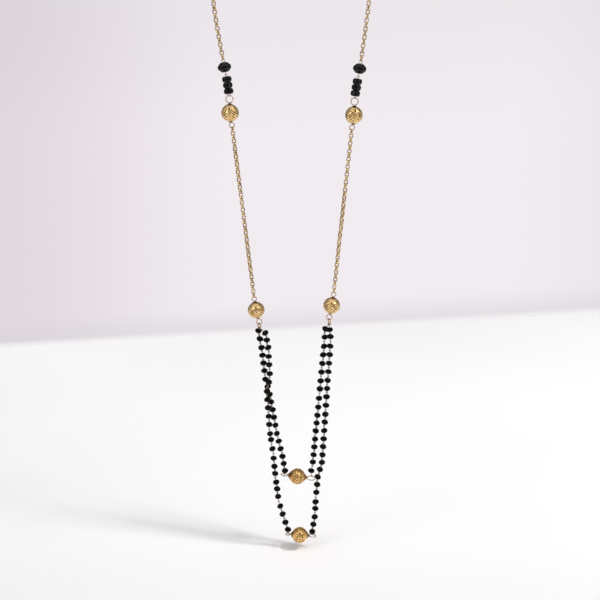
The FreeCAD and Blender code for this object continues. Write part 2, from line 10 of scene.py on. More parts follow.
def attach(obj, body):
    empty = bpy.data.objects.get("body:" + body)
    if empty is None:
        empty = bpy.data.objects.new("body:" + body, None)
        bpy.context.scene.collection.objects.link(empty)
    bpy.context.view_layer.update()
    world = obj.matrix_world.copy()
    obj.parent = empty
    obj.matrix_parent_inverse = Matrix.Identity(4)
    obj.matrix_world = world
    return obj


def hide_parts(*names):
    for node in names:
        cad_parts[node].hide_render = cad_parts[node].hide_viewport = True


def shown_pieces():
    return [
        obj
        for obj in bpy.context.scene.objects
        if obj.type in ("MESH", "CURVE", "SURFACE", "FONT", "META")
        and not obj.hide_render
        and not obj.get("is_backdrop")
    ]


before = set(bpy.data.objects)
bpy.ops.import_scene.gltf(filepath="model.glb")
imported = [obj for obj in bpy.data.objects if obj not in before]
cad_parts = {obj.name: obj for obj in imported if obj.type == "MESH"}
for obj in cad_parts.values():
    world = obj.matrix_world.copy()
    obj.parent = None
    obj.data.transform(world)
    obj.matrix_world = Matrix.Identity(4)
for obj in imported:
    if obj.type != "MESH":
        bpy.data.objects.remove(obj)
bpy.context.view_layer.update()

scene = bpy.context.scene
MM = 0.001

# --------------------------------------------------------------------------
# Sizes and places, the same as the construction's
# --------------------------------------------------------------------------
BALL_R, BALL_IN, COLLAR_FACE, HOLE_R = 3.45, 3.10, 0.62, 0.30
BALL_WIRE, PIN_WIRE, STRAND_WIRE, RING_WIRE = 0.20, 0.14, 0.14, 0.24
# a link's band is thin across and broad along the link's own axis
LINK_WIRE, LINK_BAND, LINK_HALF_WIDTH, LINK_PITCH, LINK_SLACK = 0.18, 0.45, 0.685, 1.585, 0.065
GAP = 0.03

# name, x, y, z, lean, then loop's outer diameter, swing, turn: plus end,
# minus end; last the collar's foot radius and the reach of its face
BALLS = {
    "left_upper_ball": (-24.10, 0.00, -96.15, -1.5, (3.2, 0.0, 0.0), (2.4, 34.0, 0.0), 0.90, 3.64),
    "right_upper_ball": (24.60, 0.00, -97.05, 2.0, (3.2, 0.0, 0.0), (2.4, -32.0, 0.0), 0.90, 3.64),
    "left_lower_ball": (-14.60, 0.00, -175.90, -9.0, (2.3, 0.0, 0.0), (2.7, 21.0, 0.0), 0.90, 3.64),
    "right_lower_ball": (16.40, 0.00, -174.00, 9.0, (2.3, 0.0, 0.0), (2.7, -9.0, 0.0), 0.90, 3.64),
    "inner_centre_ball": (2.25, 1.40, -249.60, 98.0, (3.8, 0.0, 36.0), (3.1, 0.0, 90.0), 1.80, 4.10),
    "outer_centre_ball": (3.30, -1.40, -275.50, 94.0, (3.2, 0.0, 90.0), (2.4, 0.0, 90.0), 1.50, 3.88),
}
# name, x, y, z, lean, half length, outer diameters, turns
PINS = {
    "left_group_wire": (-24.83, 0.0, -85.55, -8.0, 3.44, 1.12, 1.12, 0.0, 90.0),
    "right_group_wire": (25.42, 0.0, -86.42, 9.0, 3.44, 1.26, 1.12, 0.0, 90.0),
    "left_large_wire": (-26.00, 0.0, -78.69, -10.0, 1.92, 1.50, 1.12, 0.0, 90.0),
    "right_large_wire": (26.63, 0.0, -79.25, 9.5, 1.92, 1.50, 1.26, 0.0, 90.0),
}
NECK_ROUTE = [(9.0, 1.7), (16.2, -1.9), (22.3, -7.6), (26.9, -14.9),
              (29.7, -23.9), (30.8, -33.7), (30.6, -46.0), (29.3, -60.2)]
GUIDES = {
    "inner_strand_left": [
        (-13.7, 0.90, -185.3), (-12.6, 1.30, -192.3), (-11.5, 1.50, -202.3),
        (-11.1, 1.50, -206.3), (-9.6, 1.50, -211.1), (-8.2, 1.50, -219.4),
        (-6.4, 1.20, -230.1), (-4.0, 0.50, -240.4), (-3.0, 0.10, -246.5)],
    "inner_strand_right": [
        (13.9, 1.25, -184.7), (13.4, 1.30, -191.7), (12.4, 1.40, -202.9),
        (11.1, 1.40, -218.3), (9.9, 1.10, -230.8), (9.0, 0.60, -242.0),
        (8.2, 0.40, -246.6)],
    "outer_strand_left": [
        (-10.9, -0.90, -185.5), (-9.8, -1.30, -190.6), (-9.4, -1.50, -198.8),
        (-9.1, -1.50, -204.1), (-10.5, -1.50, -211.1), (-9.9, -1.50, -218.1),
        (-9.4, -1.50, -227.6), (-8.0, -1.50, -237.6), (-7.0, -1.50, -249.1),
        (-5.7, -1.20, -259.8), (-3.6, -0.75, -267.9), (-1.9, -0.40, -273.1)],
    "outer_strand_right": [
        (15.6, -1.25, -184.3), (16.0, -1.35, -187.6), (15.7, -1.50, -194.4),
        (14.9, -1.50, -205.6), (14.2, -1.50, -217.6), (13.3, -1.50, -232.6),
        (12.7, -1.50, -242.0), (11.0, -1.45, -248.5), (10.1, -1.10, -259.1),
        (9.9, -0.60, -266.1), (8.7, -0.05, -274.4)],
}
# how far each bead sits below its even place along the guide line
SHIFTS = {
    "inner_strand_left": [
        -0.40, -0.25, 0.14, 0.01, -0.02, -0.09, 0.23, 0.08, 0.21, 0.07, 0.12,
        0.10, 0.19, 0.42, 0.44, 0.42, 0.41, 0.19, -0.08],
    "inner_strand_right": [
        -0.45, -0.62, -0.29, -0.25, -0.11, 0.00, 0.21, 0.08, 0.58, 0.83, 0.81,
        0.58, 0.44, 0.40, 0.25, 0.12, -0.30, -0.05],
    "outer_strand_left": [
        -0.14, -0.79, -1.24, -1.13, -1.30, -1.10, -1.12, -0.68, -0.82, -0.80,
        -0.74, -0.79, -0.37, -1.40, -0.97, -0.37, -0.39, -0.80, -0.53, -1.08,
        -1.21, -0.26, -0.03, 0.40, 0.35],
    "outer_strand_right": [
        -0.41, -1.12, -0.66, -0.65, -0.56, -0.50, -0.34, -0.42, -0.41, -0.29,
        0.06, -0.10, 0.06, 0.10, -0.02, 0.06, -0.12, -0.45, -0.59, -0.63,
        -0.61, 0.22, -0.22, 0.20, 0.23, 0.15],
}
JUNCTIONS = {"left": ("left_lower_ball", 2.4, -50.0),
             "right": ("right_lower_ball", 2.8, -70.0)}


# --------------------------------------------------------------------------
# Small vector helpers
# --------------------------------------------------------------------------
def vec(*p):
    return np.array(p[0] if len(p) == 1 else p, float)


def unit(v):
    v = np.asarray(v, float)
    return v / np.linalg.norm(v)


def lean_matrix(deg):
    a = math.radians(deg)
    c, s = math.cos(a), math.sin(a)
    return np.array([[c, 0, s], [0, 1, 0], [-s, 0, c]])


def about_z(deg):
    a = math.radians(deg)
    c, s = math.cos(a), math.sin(a)
    return np.array([[c, -s, 0], [s, c, 0], [0, 0, 1]])


def frame_along(direction, hint):
    """Columns: side (as near hint as it can be), the third axis, direction."""
    d = unit(direction)
    e = np.asarray(hint, float) - d * np.dot(hint, d)
    if np.linalg.norm(e) < 1e-6:
        e = np.cross(d, (0.3, 1.0, 0.2))
    e = unit(e)
    return np.array([e, np.cross(d, e), d]).T


# --------------------------------------------------------------------------
# Mesh making
# --------------------------------------------------------------------------
class Shell:
    """Points, faces and one value a point, gathered for a single mesh."""

    def __init__(self):
        self.points, self.faces, self.values, self.flat = [], [], [], []
        self.count = 0

    def add(self, points, faces, value=0.0, flat=False):
        points = np.asarray(points, float).reshape(-1, 3)
        if np.ndim(value) == 0:
            value = np.full(len(points), float(value))
        base = self.count
        for f in faces:
            self.faces.append([i + base for i in f])
        self.flat += [flat] * len(faces)
        self.points.append(points)
        self.values.append(np.asarray(value, float))
        self.count += len(points)


def make_piece(name, shell, material, nodes):
    mesh = bpy.data.meshes.new(name)
    points = np.concatenate(shell.points) * MM
    mesh.from_pydata(points.tolist(), [], shell.faces)
    mesh.polygons.foreach_set("use_smooth", [not f for f in shell.flat])
    # the point values carry wear, patina and painted shade for the materials
    held = mesh.attributes.new("relief", "FLOAT", "POINT")
    held.data.foreach_set("value", np.concatenate(shell.values).astype(np.float32))
    mesh.materials.append(material)
    mesh.validate()
    mesh.update()
    piece = bpy.data.objects.new(name, mesh)
    scene.collection.objects.link(piece)
    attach(piece, "root")
    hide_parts(*nodes)
    return piece


def sweep(shell, path, radius, sides=12, closed=False, first=None, blunt=0.3,
          value=0.0, squeeze=1.0):
    """A tube round a line of points, carried along without twist."""
    p = np.asarray(path, float)
    n = len(p)
    if closed:
        t = np.roll(p, -1, 0) - np.roll(p, 1, 0)
    else:
        t = np.gradient(p, axis=0)
    t = t / np.linalg.norm(t, axis=1)[:, None]
    r = np.full(n, float(radius)) if np.ndim(radius) == 0 else np.asarray(radius, float)
    nrm = np.zeros_like(p)
    start = np.asarray(first if first is not None else
                       np.cross(t[0], (0.31, 0.77, 0.21)), float)
    start = start - t[0] * np.dot(start, t[0])
    nrm[0] = unit(start)
    for i in range(1, n):
        v = nrm[i - 1] - t[i] * np.dot(nrm[i - 1], t[i])
        nrm[i] = unit(v)
    b = np.cross(t, nrm)
    ang = np.arange(sides) * 2 * math.pi / sides
    ca, sa = np.cos(ang), np.sin(ang) * squeeze
    rings = (p[:, None, :] + r[:, None, None] *
             (nrm[:, None, :] * ca[None, :, None] + b[:, None, :] * sa[None, :, None]))
    pts = rings.reshape(-1, 3)
    faces = []
    m = n if closed else n - 1
    for i in range(m):
        j = (i + 1) % n
        for k in range(sides):
            l = (k + 1) % sides
            faces.append((i * sides + k, i * sides + l, j * sides + l, j * sides + k))
    extra = []
    if not closed:
        count = len(pts)
        for end, s in ((0, -1.0), (n - 1, 1.0)):
            previous = end * sides
            for out, shrink in ((0.55, 0.86), (0.9, 0.52)):
                ring = (p[end] + t[end] * s * out * blunt * r[end] +
                        r[end] * shrink * (nrm[end] * ca[:, None] + b[end] * sa[:, None]))
                extra.append(ring)
                for k in range(sides):
                    l = (k + 1) % sides
                    quad = (previous + k, previous + l, count + l, count + k)
                    faces.append(quad if s > 0 else quad[::-1])
                previous = count
                count += sides
            extra.append((p[end] + t[end] * s * blunt * r[end])[None])
            for k in range(sides):
                l = (k + 1) % sides
                tri = (previous + k, previous + l, count)
                faces.append(tri if s > 0 else tri[::-1])
            count += 1
        pts = np.concatenate([pts] + extra)
    shell.add(pts, faces, value)


def lathe(shell, profile, matrix, centre, sides=32, value=0.0, flat=False):
    """Profile of (radius, height) turned about the third axis of matrix.
    A profile that starts and ends at radius 0 is closed by points."""
    rows = []
    pts = []
    ang = np.arange(sides) * 2 * math.pi / sides
    for r, h in profile:
        if r < 1e-9:
            rows.append([sum(len(x) for x in pts)])
            pts.append(np.array([[0, 0, h]]))
        else:
            base = sum(len(x) for x in pts)
            rows.append(list(range(base, base + sides)))
            pts.append(np.stack([r * np.cos(ang), r * np.sin(ang),
                                 np.full(sides, h)], 1))
    pts = np.concatenate(pts)
    faces = []
    pairs = list(zip(rows, rows[1:]))
    if len(rows[0]) > 1 and len(rows[-1]) > 1:
        pairs.append((rows[-1], rows[0]))
    for a, b in pairs:
        for k in range(sides):
            l = (k + 1) % sides
            if len(a) == 1:
                faces.append((a[0], b[l], b[k]))
            elif len(b) == 1:
                faces.append((a[k], a[l], b[0]))
            else:
                faces.append((a[k], a[l], b[l], b[k]))
    faces = [f[::-1] for f in faces]
    shell.add(np.asarray(centre) + pts @ np.asarray(matrix).T, faces, value, flat)


def turn_outward(piece):
    """Faces look outward."""
    bm = bmesh.new()
    bm.from_mesh(piece.data)
    bmesh.ops.recalc_face_normals(bm, faces=bm.faces)
    bm.to_mesh(piece.data)
    bm.free()
    piece.data.update()


# --------------------------------------------------------------------------
# Materials
# --------------------------------------------------------------------------
def new_material(name):
    m = bpy.data.materials.new(name)
    m.use_nodes = True
    tree = m.node_tree
    shader = next(n for n in tree.nodes if n.type == "BSDF_PRINCIPLED")
    return m, tree, shader


def node(tree, kind, **inputs):
    n = tree.nodes.new(kind)
    for key, value in inputs.items():
        n.inputs[key.replace("_", " ")].default_value = value
    return n


def link(tree, a, b):
    tree.links.new(a, b)


def noise(tree, where, scale, detail=3.0, rough=0.55):
    n = tree.nodes.new("ShaderNodeTexNoise")
    n.inputs["Scale"].default_value = scale
    n.inputs["Detail"].default_value = detail
    n.inputs["Roughness"].default_value = rough
    link(tree, where, n.inputs["Vector"])
    return n.outputs["Fac"]


def map_range(tree, value, a, b, low, high):
    n = tree.nodes.new("ShaderNodeMapRange")
    n.interpolation_type = "SMOOTHSTEP"
    n.clamp = True
    for socket, number in zip(("From Min", "From Max", "To Min", "To Max"),
                              (a, b, low, high)):
        n.inputs[socket].default_value = number
    link(tree, value, n.inputs["Value"])
    return n.outputs["Result"]


def mix_colour(tree, factor, a, b):
    n = tree.nodes.new("ShaderNodeMix")
    n.data_type = "RGBA"
    for socket, value in (("Factor", factor), ("A", a), ("B", b)):
        spot = [i for i in n.inputs if i.name == socket and
                (i.type == "RGBA" if socket != "Factor" else i.type == "VALUE")][0]
        if isinstance(value, (tuple, list)):
            spot.default_value = (*value, 1.0)
        elif isinstance(value, (int, float)):
            spot.default_value = value
        else:
            link(tree, value, spot)
    return [o for o in n.outputs if o.type == "RGBA"][0]


def gold_material(name, bright, deep, dirt_and_painted_shade, rough, grain=0.25, scratch=1.0,
                  relief=False):
    m, tree, shader = new_material(name)
    place = tree.nodes.new("ShaderNodeTexCoord").outputs["Object"]
    shader.inputs["Metallic"].default_value = 1.0
    shader.inputs["IOR"].default_value = 1.5
    cloud = noise(tree, place, 420.0, 3.0)
    fine = noise(tree, place, 5200.0, 4.0, 0.6)
    tone = mix_colour(tree, map_range(tree, cloud, 0.35, 0.68, 0.0, 1.0), bright, deep)
    if relief:
        # painted shade and patina from the point values: darker in the grooves, at the collar and in
        # the hole
        attribute = tree.nodes.new("ShaderNodeAttribute")
        attribute.attribute_name = "relief"
        patina_and_painted_shade = map_range(tree, attribute.outputs["Fac"], 0.08, 0.70, 0.0, 1.0)
        tone = mix_colour(tree, patina_and_painted_shade, tone, dirt_and_painted_shade)
    else:
        spots = map_range(tree, noise(tree, place, 1500.0, 2.0), 0.60, 0.78, 0.0, 0.55)
        tone = mix_colour(tree, spots, tone, dirt_and_painted_shade)
    link(tree, tone, shader.inputs["Base Color"])
    low, high = rough
    roughness = map_range(tree, fine, 0.3, 0.7, low, high)
    link(tree, roughness, shader.inputs["Roughness"])
    # fine lines of polishing and hammering
    stretch = tree.nodes.new("ShaderNodeMapping")
    stretch.inputs["Scale"].default_value = (1.0, 1.0, 0.22)
    link(tree, place, stretch.inputs["Vector"])
    lines = noise(tree, stretch.outputs["Vector"], 9000.0, 2.0)
    hammer = noise(tree, place, 1700.0, 2.0)
    both = tree.nodes.new("ShaderNodeMath")
    both.operation = "MULTIPLY_ADD"
    both.inputs[1].default_value = grain
    link(tree, lines, both.inputs[0])
    link(tree, hammer, both.inputs[2])
    bump = tree.nodes.new("ShaderNodeBump")
    bump.inputs["Strength"].default_value = 0.35 * scratch
    bump.inputs["Distance"].default_value = 0.00003
    link(tree, both.outputs[0], bump.inputs["Height"])
    link(tree, bump.outputs["Normal"], shader.inputs["Normal"])
    return m


def glass_material(name, body, dust, rough, shine):
    m, tree, shader = new_material(name)
    place = tree.nodes.new("ShaderNodeTexCoord").outputs["Object"]
    shader.inputs["Metallic"].default_value = 0.0
    shader.inputs["IOR"].default_value = 1.5
    shader.inputs["Specular IOR Level"].default_value = shine
    attribute = tree.nodes.new("ShaderNodeAttribute")
    attribute.attribute_name = "relief"
    wear_patina_and_painted_shade = map_range(tree, attribute.outputs["Fac"], 0.2, 1.0, 0.0, 0.7)
    cloud = map_range(tree, noise(tree, place, 700.0, 3.0), 0.35, 0.75, 0.0, 0.35)
    mixed = mix_colour(tree, cloud, body, dust)
    link(tree, mix_colour(tree, wear_patina_and_painted_shade, mixed, dust), shader.inputs["Base Color"])
    low, high = rough
    link(tree, map_range(tree, noise(tree, place, 1600.0, 3.0), 0.3, 0.7, low, high),
         shader.inputs["Roughness"])
    bump = tree.nodes.new("ShaderNodeBump")
    bump.inputs["Strength"].default_value = 0.25
    bump.inputs["Distance"].default_value = 0.00004
    link(tree, noise(tree, place, 1100.0, 2.0), bump.inputs["Height"])
    link(tree, bump.outputs["Normal"], shader.inputs["Normal"])
    return m


# the engraved golds' third colour is painted shade and patina for the grooves, collar and hole; on
# the wires and links it colours dirt spots
ENGRAVED = gold_material("engraved_gold_finish", (0.90, 0.65, 0.33), (0.78, 0.52, 0.22),
                         (0.13, 0.055, 0.010), (0.24, 0.36), relief=True)
CENTRE = gold_material("engraved_gold_warm", (0.87, 0.57, 0.25), (0.74, 0.45, 0.16),
                       (0.20, 0.085, 0.018), (0.26, 0.38), relief=True)
WIRE = gold_material("drawn_wire_gold", (0.64, 0.46, 0.31), (0.50, 0.33, 0.20),
                     (0.20, 0.11, 0.04), (0.20, 0.32), scratch=0.6)
CHAIN = gold_material("link_gold", (0.72, 0.55, 0.33), (0.52, 0.37, 0.19),
                      (0.22, 0.14, 0.06), (0.18, 0.30), scratch=0.6)
THREAD = gold_material("thread_wire_pale", (0.38, 0.33, 0.25), (0.27, 0.23, 0.16),
                       (0.16, 0.12, 0.07), (0.22, 0.34), scratch=0.5)
PIN = gold_material("pin_wire_gold", (0.74, 0.63, 0.42), (0.56, 0.46, 0.28),
                    (0.26, 0.19, 0.09), (0.20, 0.32), scratch=0.6)
GLASS = glass_material("black_glass_finish", (0.0012, 0.0011, 0.0010),
                       (0.0045, 0.0040, 0.0036), (0.10, 0.22), 0.08)
GLASS_BRIGHT = glass_material("black_glass_polished", (0.0012, 0.0011, 0.0011),
                              (0.0040, 0.0037, 0.0037), (0.07, 0.13), 0.22)


# --------------------------------------------------------------------------
# Engraved gold balls
# --------------------------------------------------------------------------
# One motif of the engraving, right half; the left half mirrors it.  Across
# and up are lengths on the ball's surface from the motif's middle.
# Columns: across, up, across, up of the two ends, half width, depth.
LEAF_CUTS = [
    (0.62, 1.52, 3.15, -0.62, 0.28, 0.22),
    (1.02, 0.18, 2.95, -1.48, 0.26, 0.20),
    (0.80, -1.02, 2.30, -2.20, 0.24, 0.19),
    (2.80, 1.00, 3.45, 0.36, 0.17, 0.14),
    (0.34, -1.98, 0.95, -2.24, 0.17, 0.13),
]
# Columns: across, up, radius, depth.  Across 0 is not mirrored.
PUNCHED_DOTS = [
    (0.00, 1.86, 0.42, 0.26),
    (0.00, 0.98, 0.29, 0.20),
    (0.46, 0.42, 0.27, 0.18),
    (0.00, -0.20, 0.28, 0.19),
    (0.44, -0.78, 0.26, 0.18),
    (0.00, -1.40, 0.28, 0.19),
    (1.66, 0.26, 0.14, 0.09),
    (2.34, -0.36, 0.14, 0.09),
    (1.52, -0.86, 0.14, 0.09),
    (1.80, 1.62, 0.30, 0.18),
    (1.02, 2.16, 0.18, 0.11),
    (3.52, -0.30, 0.26, 0.16),
    (3.34, -1.28, 0.22, 0.14),
    (3.00, 1.82, 0.22, 0.14),
]
MOTIFS = 3


def engraving(lon, lat, phase, pick):
    """Depth of the engraving, and a raised burr, at places on the ball."""
    up = lat * BALL_R
    depth = np.zeros_like(lon)
    burr = np.zeros_like(lon)
    step = 2 * math.pi / MOTIFS
    for k in range(MOTIFS):
        away = (lon - phase - k * step + math.pi) % (2 * math.pi) - math.pi
        across = away * BALL_R * np.cos(lat)
        near = np.abs(away) < step * 0.62
        for side in (1.0, -1.0):
            for a0, b0, a1, b1, half, deep in LEAF_CUTS:
                j = [pick.uniform(-0.06, 0.06) for _ in range(4)]
                deep = deep * pick.uniform(0.85, 1.1)
                ax, ay, bx, by = (a0 + j[0]) * side, b0 + j[1], (a1 + j[2]) * side, b1 + j[3]
                dx, dy = bx - ax, by - ay
                t = np.clip(((across - ax) * dx + (up - ay) * dy) / (dx * dx + dy * dy), 0, 1)
                d = np.hypot(across - ax - t * dx, up - ay - t * dy)
                w = half * np.sqrt(np.clip(1 - (2 * t - 1) ** 2, 0, 1) * 0.9 + 0.1)
                s = np.clip(1 - d / w, 0, 1) * near
                depth = np.maximum(depth, deep * (w / half) * s * (1.25 - 0.25 * s))
                edge = (d - w) / 0.07
                burr = np.maximum(burr, 0.016 * np.exp(-edge * edge) * near)
        for a0, b0, radius, deep in PUNCHED_DOTS:
            for side in ((1.0,) if a0 == 0 else (1.0, -1.0)):
                ax = a0 * side + pick.uniform(-0.06, 0.06)
                ay = b0 + pick.uniform(-0.07, 0.07)
                r = radius * pick.uniform(0.88, 1.1)
                d = np.hypot(across - ax, up - ay)
                s = np.clip(1 - (d / r) ** 2, 0, 1) ** 0.8 * near
                depth = np.maximum(depth, deep * s)
                edge = (d - r * 1.12) / 0.07
                burr = np.maximum(burr, 0.018 * np.exp(-edge * edge) * near)
    for ring, half, deep in ((2.70, 0.15, 0.11), (3.04, 0.08, 0.04)):
        d = np.abs(np.abs(up) - ring)
        depth = np.maximum(depth, deep * np.clip(1 - d / half, 0, 1))
    return depth, burr


def belt(lon, lat, phase, pick):
    """The centre balls' pattern: a belt of punched dots between two grooves."""
    up = lat * BALL_R
    depth = np.zeros_like(lon)
    burr = np.zeros_like(lon)
    for number, row in enumerate((-1.24, -0.02, 1.22)):
        count = 16
        for k in range(count):
            middle = phase + 2 * math.pi * (k + 0.5 * (number % 2)) / count
            away = (lon - middle + math.pi) % (2 * math.pi) - math.pi
            ax = away * BALL_R * np.cos(lat) + pick.uniform(-0.10, 0.10)
            ay = up - row + pick.uniform(-0.08, 0.08)
            turn = pick.uniform(-1.0, 1.0)
            long_way = ax * math.cos(turn) + ay * math.sin(turn)
            short_way = ay * math.cos(turn) - ax * math.sin(turn)
            r = 0.37 * pick.uniform(0.80, 1.12)
            stretch = pick.uniform(1.0, 1.35)
            d = np.hypot(long_way / stretch, short_way * stretch ** 0.3)
            depth = np.maximum(depth, 0.30 * np.clip(1 - (d / r) ** 2, 0, 1) ** 0.8)
            edge = (d - r * 1.14) / 0.10
            burr = np.maximum(burr, 0.034 * np.exp(-edge * edge))
    for ring, half, deep in ((1.94, 0.17, 0.12), (2.70, 0.07, 0.03)):
        d = np.abs(np.abs(up) - ring)
        depth = np.maximum(depth, deep * np.clip(1 - d / half, 0, 1))
    return depth, burr


def engraved_ball(name, phase_deg, material):
    x, y, z, lean, plus, minus, foot, reach = BALLS[name]
    pick = random.Random(name)
    columns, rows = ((252, 112))
    end_lat = math.acos((foot - 0.01) / BALL_R)
    lats = np.linspace(-end_lat, end_lat, rows)
    lons = np.arange(columns) * 2 * math.pi / columns
    lon, lat = np.meshgrid(lons, lats)
    pattern = belt if name.endswith("centre_ball") else engraving
    depth, burr = pattern(lon, lat, math.radians(phase_deg), pick)
    # a hand-made, slightly uneven surface
    uneven = np.zeros_like(lon)
    for _ in range(7):
        a, b, c = pick.randint(1, 9), pick.uniform(2, 9), pick.uniform(0, 6.28)
        uneven += 0.0035 * np.sin(a * lon + b * lat + c)
    settle = np.clip((end_lat - np.abs(lat)) / 0.12, 0, 1)
    # the burrs stay within the plain ball
    low = 0.058 if name.endswith("centre_ball") else 0.034
    radius = BALL_R - low * settle - (depth - burr - uneven) * settle
    outer = np.stack([radius * np.cos(lat) * np.cos(lon),
                      radius * np.cos(lat) * np.sin(lon),
                      radius * np.sin(lat)], 2)
    # painted shade and patina: darker in the engraved grooves, by their depth
    wear_patina_and_painted_shade = np.clip(depth / 0.15, 0, 1) * settle
    # painted shade: darker where the collar meets the ball, more so on the four hanging balls
    seat = np.clip(1 - (end_lat - np.abs(lat)) / (0.22 if foot < 1.2 else 0.13), 0, 1)
    dark = 0.35 if foot < 1.2 else 0.0
    wear_patina_and_painted_shade = np.maximum(wear_patina_and_painted_shade, (0.55 + dark) * seat)
    # sloping collar, hole and hollow inside, closing the skin on itself
    base = math.sqrt(BALL_R ** 2 - foot ** 2)
    face = COLLAR_FACE

    def slope(s):
        # a little hollow, as a spun collar is
        r = foot + (face - foot) * s
        h = base + (reach - 0.06 - base) * s
        dip = 0.05 * math.sin(math.pi * s) * min(1.0, reach - base)
        return r - dip, h - dip * 0.6

    # the third values: the collar is darker, more so on the four hanging balls, and the hole and the
    # hollow inside get the darkest painted shade
    top = [(*slope(0.06), 0.65 + dark), (*slope(0.25), 0.55 + dark),
           (*slope(0.5), 0.45 + dark), (*slope(0.75), 0.42 + dark),
           (*slope(0.94), 0.42 + dark), (face - 0.01, reach - 0.045, 0.4 + dark),
           (face - 0.05, reach - 0.008, 0.4 + dark), (face - 0.14, reach, 0.45 + dark),
           (0.37, reach - 0.01, 0.6), (0.315, reach - 0.06, 0.9),
           (HOLE_R, reach - 0.15, 1.0), (HOLE_R, 3.15, 1.0)]
    inside = [(BALL_IN * math.cos(a), BALL_IN * math.sin(a), 1.0)
              for a in np.linspace(math.acos(HOLE_R / BALL_IN), -math.acos(HOLE_R / BALL_IN), 14)]
    rest = top + inside + [(r, -h, w) for r, h, w in reversed(top)]
    rings = [outer]
    for r, h, w in rest:
        rings.append(np.stack([r * np.cos(lons), r * np.sin(lons),
                               np.full(columns, h)], 1)[None])
    pts = np.concatenate(rings).reshape(-1, 3)
    values = np.concatenate([wear_patina_and_painted_shade.reshape(-1)] +
                            [np.full(columns, w) for _, _, w in rest])
    n = rows + len(rest)
    i = np.arange(n)[:, None]
    k = np.arange(columns)[None, :]
    j, l = (i + 1) % n, (k + 1) % columns
    faces = np.stack([i * columns + k, i * columns + l, j * columns + l,
                      j * columns + k], 2).reshape(-1, 4).tolist()
    shell = Shell()
    shell.add(vec(x, y, z) + pts @ lean_matrix(lean).T, faces, values)
    return make_piece("engraved_" + name, shell, material, [name])


# --------------------------------------------------------------------------
# Wires bent into an eye at each end
# --------------------------------------------------------------------------
def eye(exit_point, direction, side, ring, start, swing, wire, flip=1.0, steps=40):
    """Line of a wire that leaves at exit_point, runs along direction, and bends
    round into an eye.  start is where the eye's circle meets the axis."""
    sw = math.radians(swing)
    ca, cb = ring * math.sin(sw), start + ring * math.cos(sw)
    base = math.atan2(-math.cos(sw), -math.sin(sw))
    way = flip if abs(swing) < 1 else (-1.0 if swing > 0 else 1.0)
    # a large eye is a full circle seated on its ball, a small one is pointed
    ease = 0.02 if ring > 0.8 else min(0.10, 0.5 * wire)
    spread = math.acos(1.0 / (1.0 + ease / ring))
    along = base + way * spread

    def on(a):
        return np.array([ca + ring * math.cos(a), cb + ring * math.sin(a)])

    p1 = on(along)
    t1 = way * np.array([-math.sin(along), math.cos(along)])
    corner = p1 - t1 * (p1[0] / t1[0]) if abs(t1[0]) > 1e-6 else np.array([0, start])
    p0 = np.array([0.0, corner[1] - 0.8 * wire])
    flat = [np.array([0.0, min(0.0, p0[1] - 0.05)])]
    if p0[1] > 0.02:
        for s in np.linspace(0, 1, max(2, int(p0[1] / 0.4) + 1))[1:-1]:
            flat.append(np.array([0.0, p0[1] * s]))
    for s in np.linspace(0, 1, 6):
        flat.append((1 - s) ** 2 * p0 + 2 * s * (1 - s) * corner + s * s * p1)
    close = 1.72 * wire / ring
    end = base + way * (2 * math.pi - close)
    for a in np.linspace(along, end, steps)[1:]:
        flat.append(on(a))
    m = frame_along(direction, side)
    out = []
    last = len(flat) - 1
    for i, (a, b) in enumerate(flat):
        push = 0.22 * wire * max(0.0, (i / last - 0.6) / 0.4)
        out.append(exit_point + m[:, 0] * a + m[:, 2] * b + m[:, 1] * push)
    return out


def eye_pin(shell, centre, matrix, half, plus, minus, wire, sides=14, steps=44,
            flips=(1.0, 1.0)):
    """A straight wire with an eye at both ends, as on the balls and beads."""
    z = matrix[:, 2]
    lines = []
    for sign, (od, swing, turn), flip in ((1.0, plus, flips[0]), (-1.0, minus, flips[1])):
        ring = od / 2.0 - wire
        side = matrix @ vec(math.cos(math.radians(turn)), math.sin(math.radians(turn)), 0)
        start = wire + ring * (1 - math.cos(math.radians(swing)))
        lines.append(eye(centre + z * sign * half, z * sign, side, ring, start,
                         swing, wire, flip, steps))
    path = lines[0][::-1] + [centre] + lines[1]
    sweep(shell, path, wire, sides, first=matrix[:, 1])


def ball_loop(name, sign):
    """Centre of a ball's eye and the radius of its wire's line."""
    x, y, z, lean, plus, minus, foot, reach = BALLS[name]
    od, swing, turn = plus if sign > 0 else minus
    ring = od / 2.0 - BALL_WIRE
    sw = math.radians(swing)
    half = reach + GAP
    end = half + BALL_WIRE + ring * (1 - math.cos(sw))
    local = vec(ring * math.sin(sw), 0, sign * (end + ring * math.cos(sw)))
    return vec(x, y, z) + lean_matrix(lean) @ local, ring


for number, (name, row) in enumerate(BALLS.items()):
    centre_ball = name.endswith("centre_ball")
    # on the hanging balls a motif's middle faces the front (-Y); the centre
    # balls lie on their side and show a motif with its row of dots
    phase = {"left_upper_ball": -92.0, "right_upper_ball": -84.0,
             "left_lower_ball": -86.0, "right_lower_ball": -98.0,
             "inner_centre_ball": -90.0, "outer_centre_ball": -96.0}[name]
    engraved_ball(name, phase, CENTRE if centre_ball else ENGRAVED)
    x, y, z, lean, plus, minus, foot, reach = row
    shell = Shell()
    eye_pin(shell, vec(x, y, z), lean_matrix(lean), reach + GAP, plus, minus,
            BALL_WIRE, sides=16, steps=56, flips=(1.0, -1.0))
    make_piece("eye_pin_" + name, shell, WIRE, [name + "_wire"])


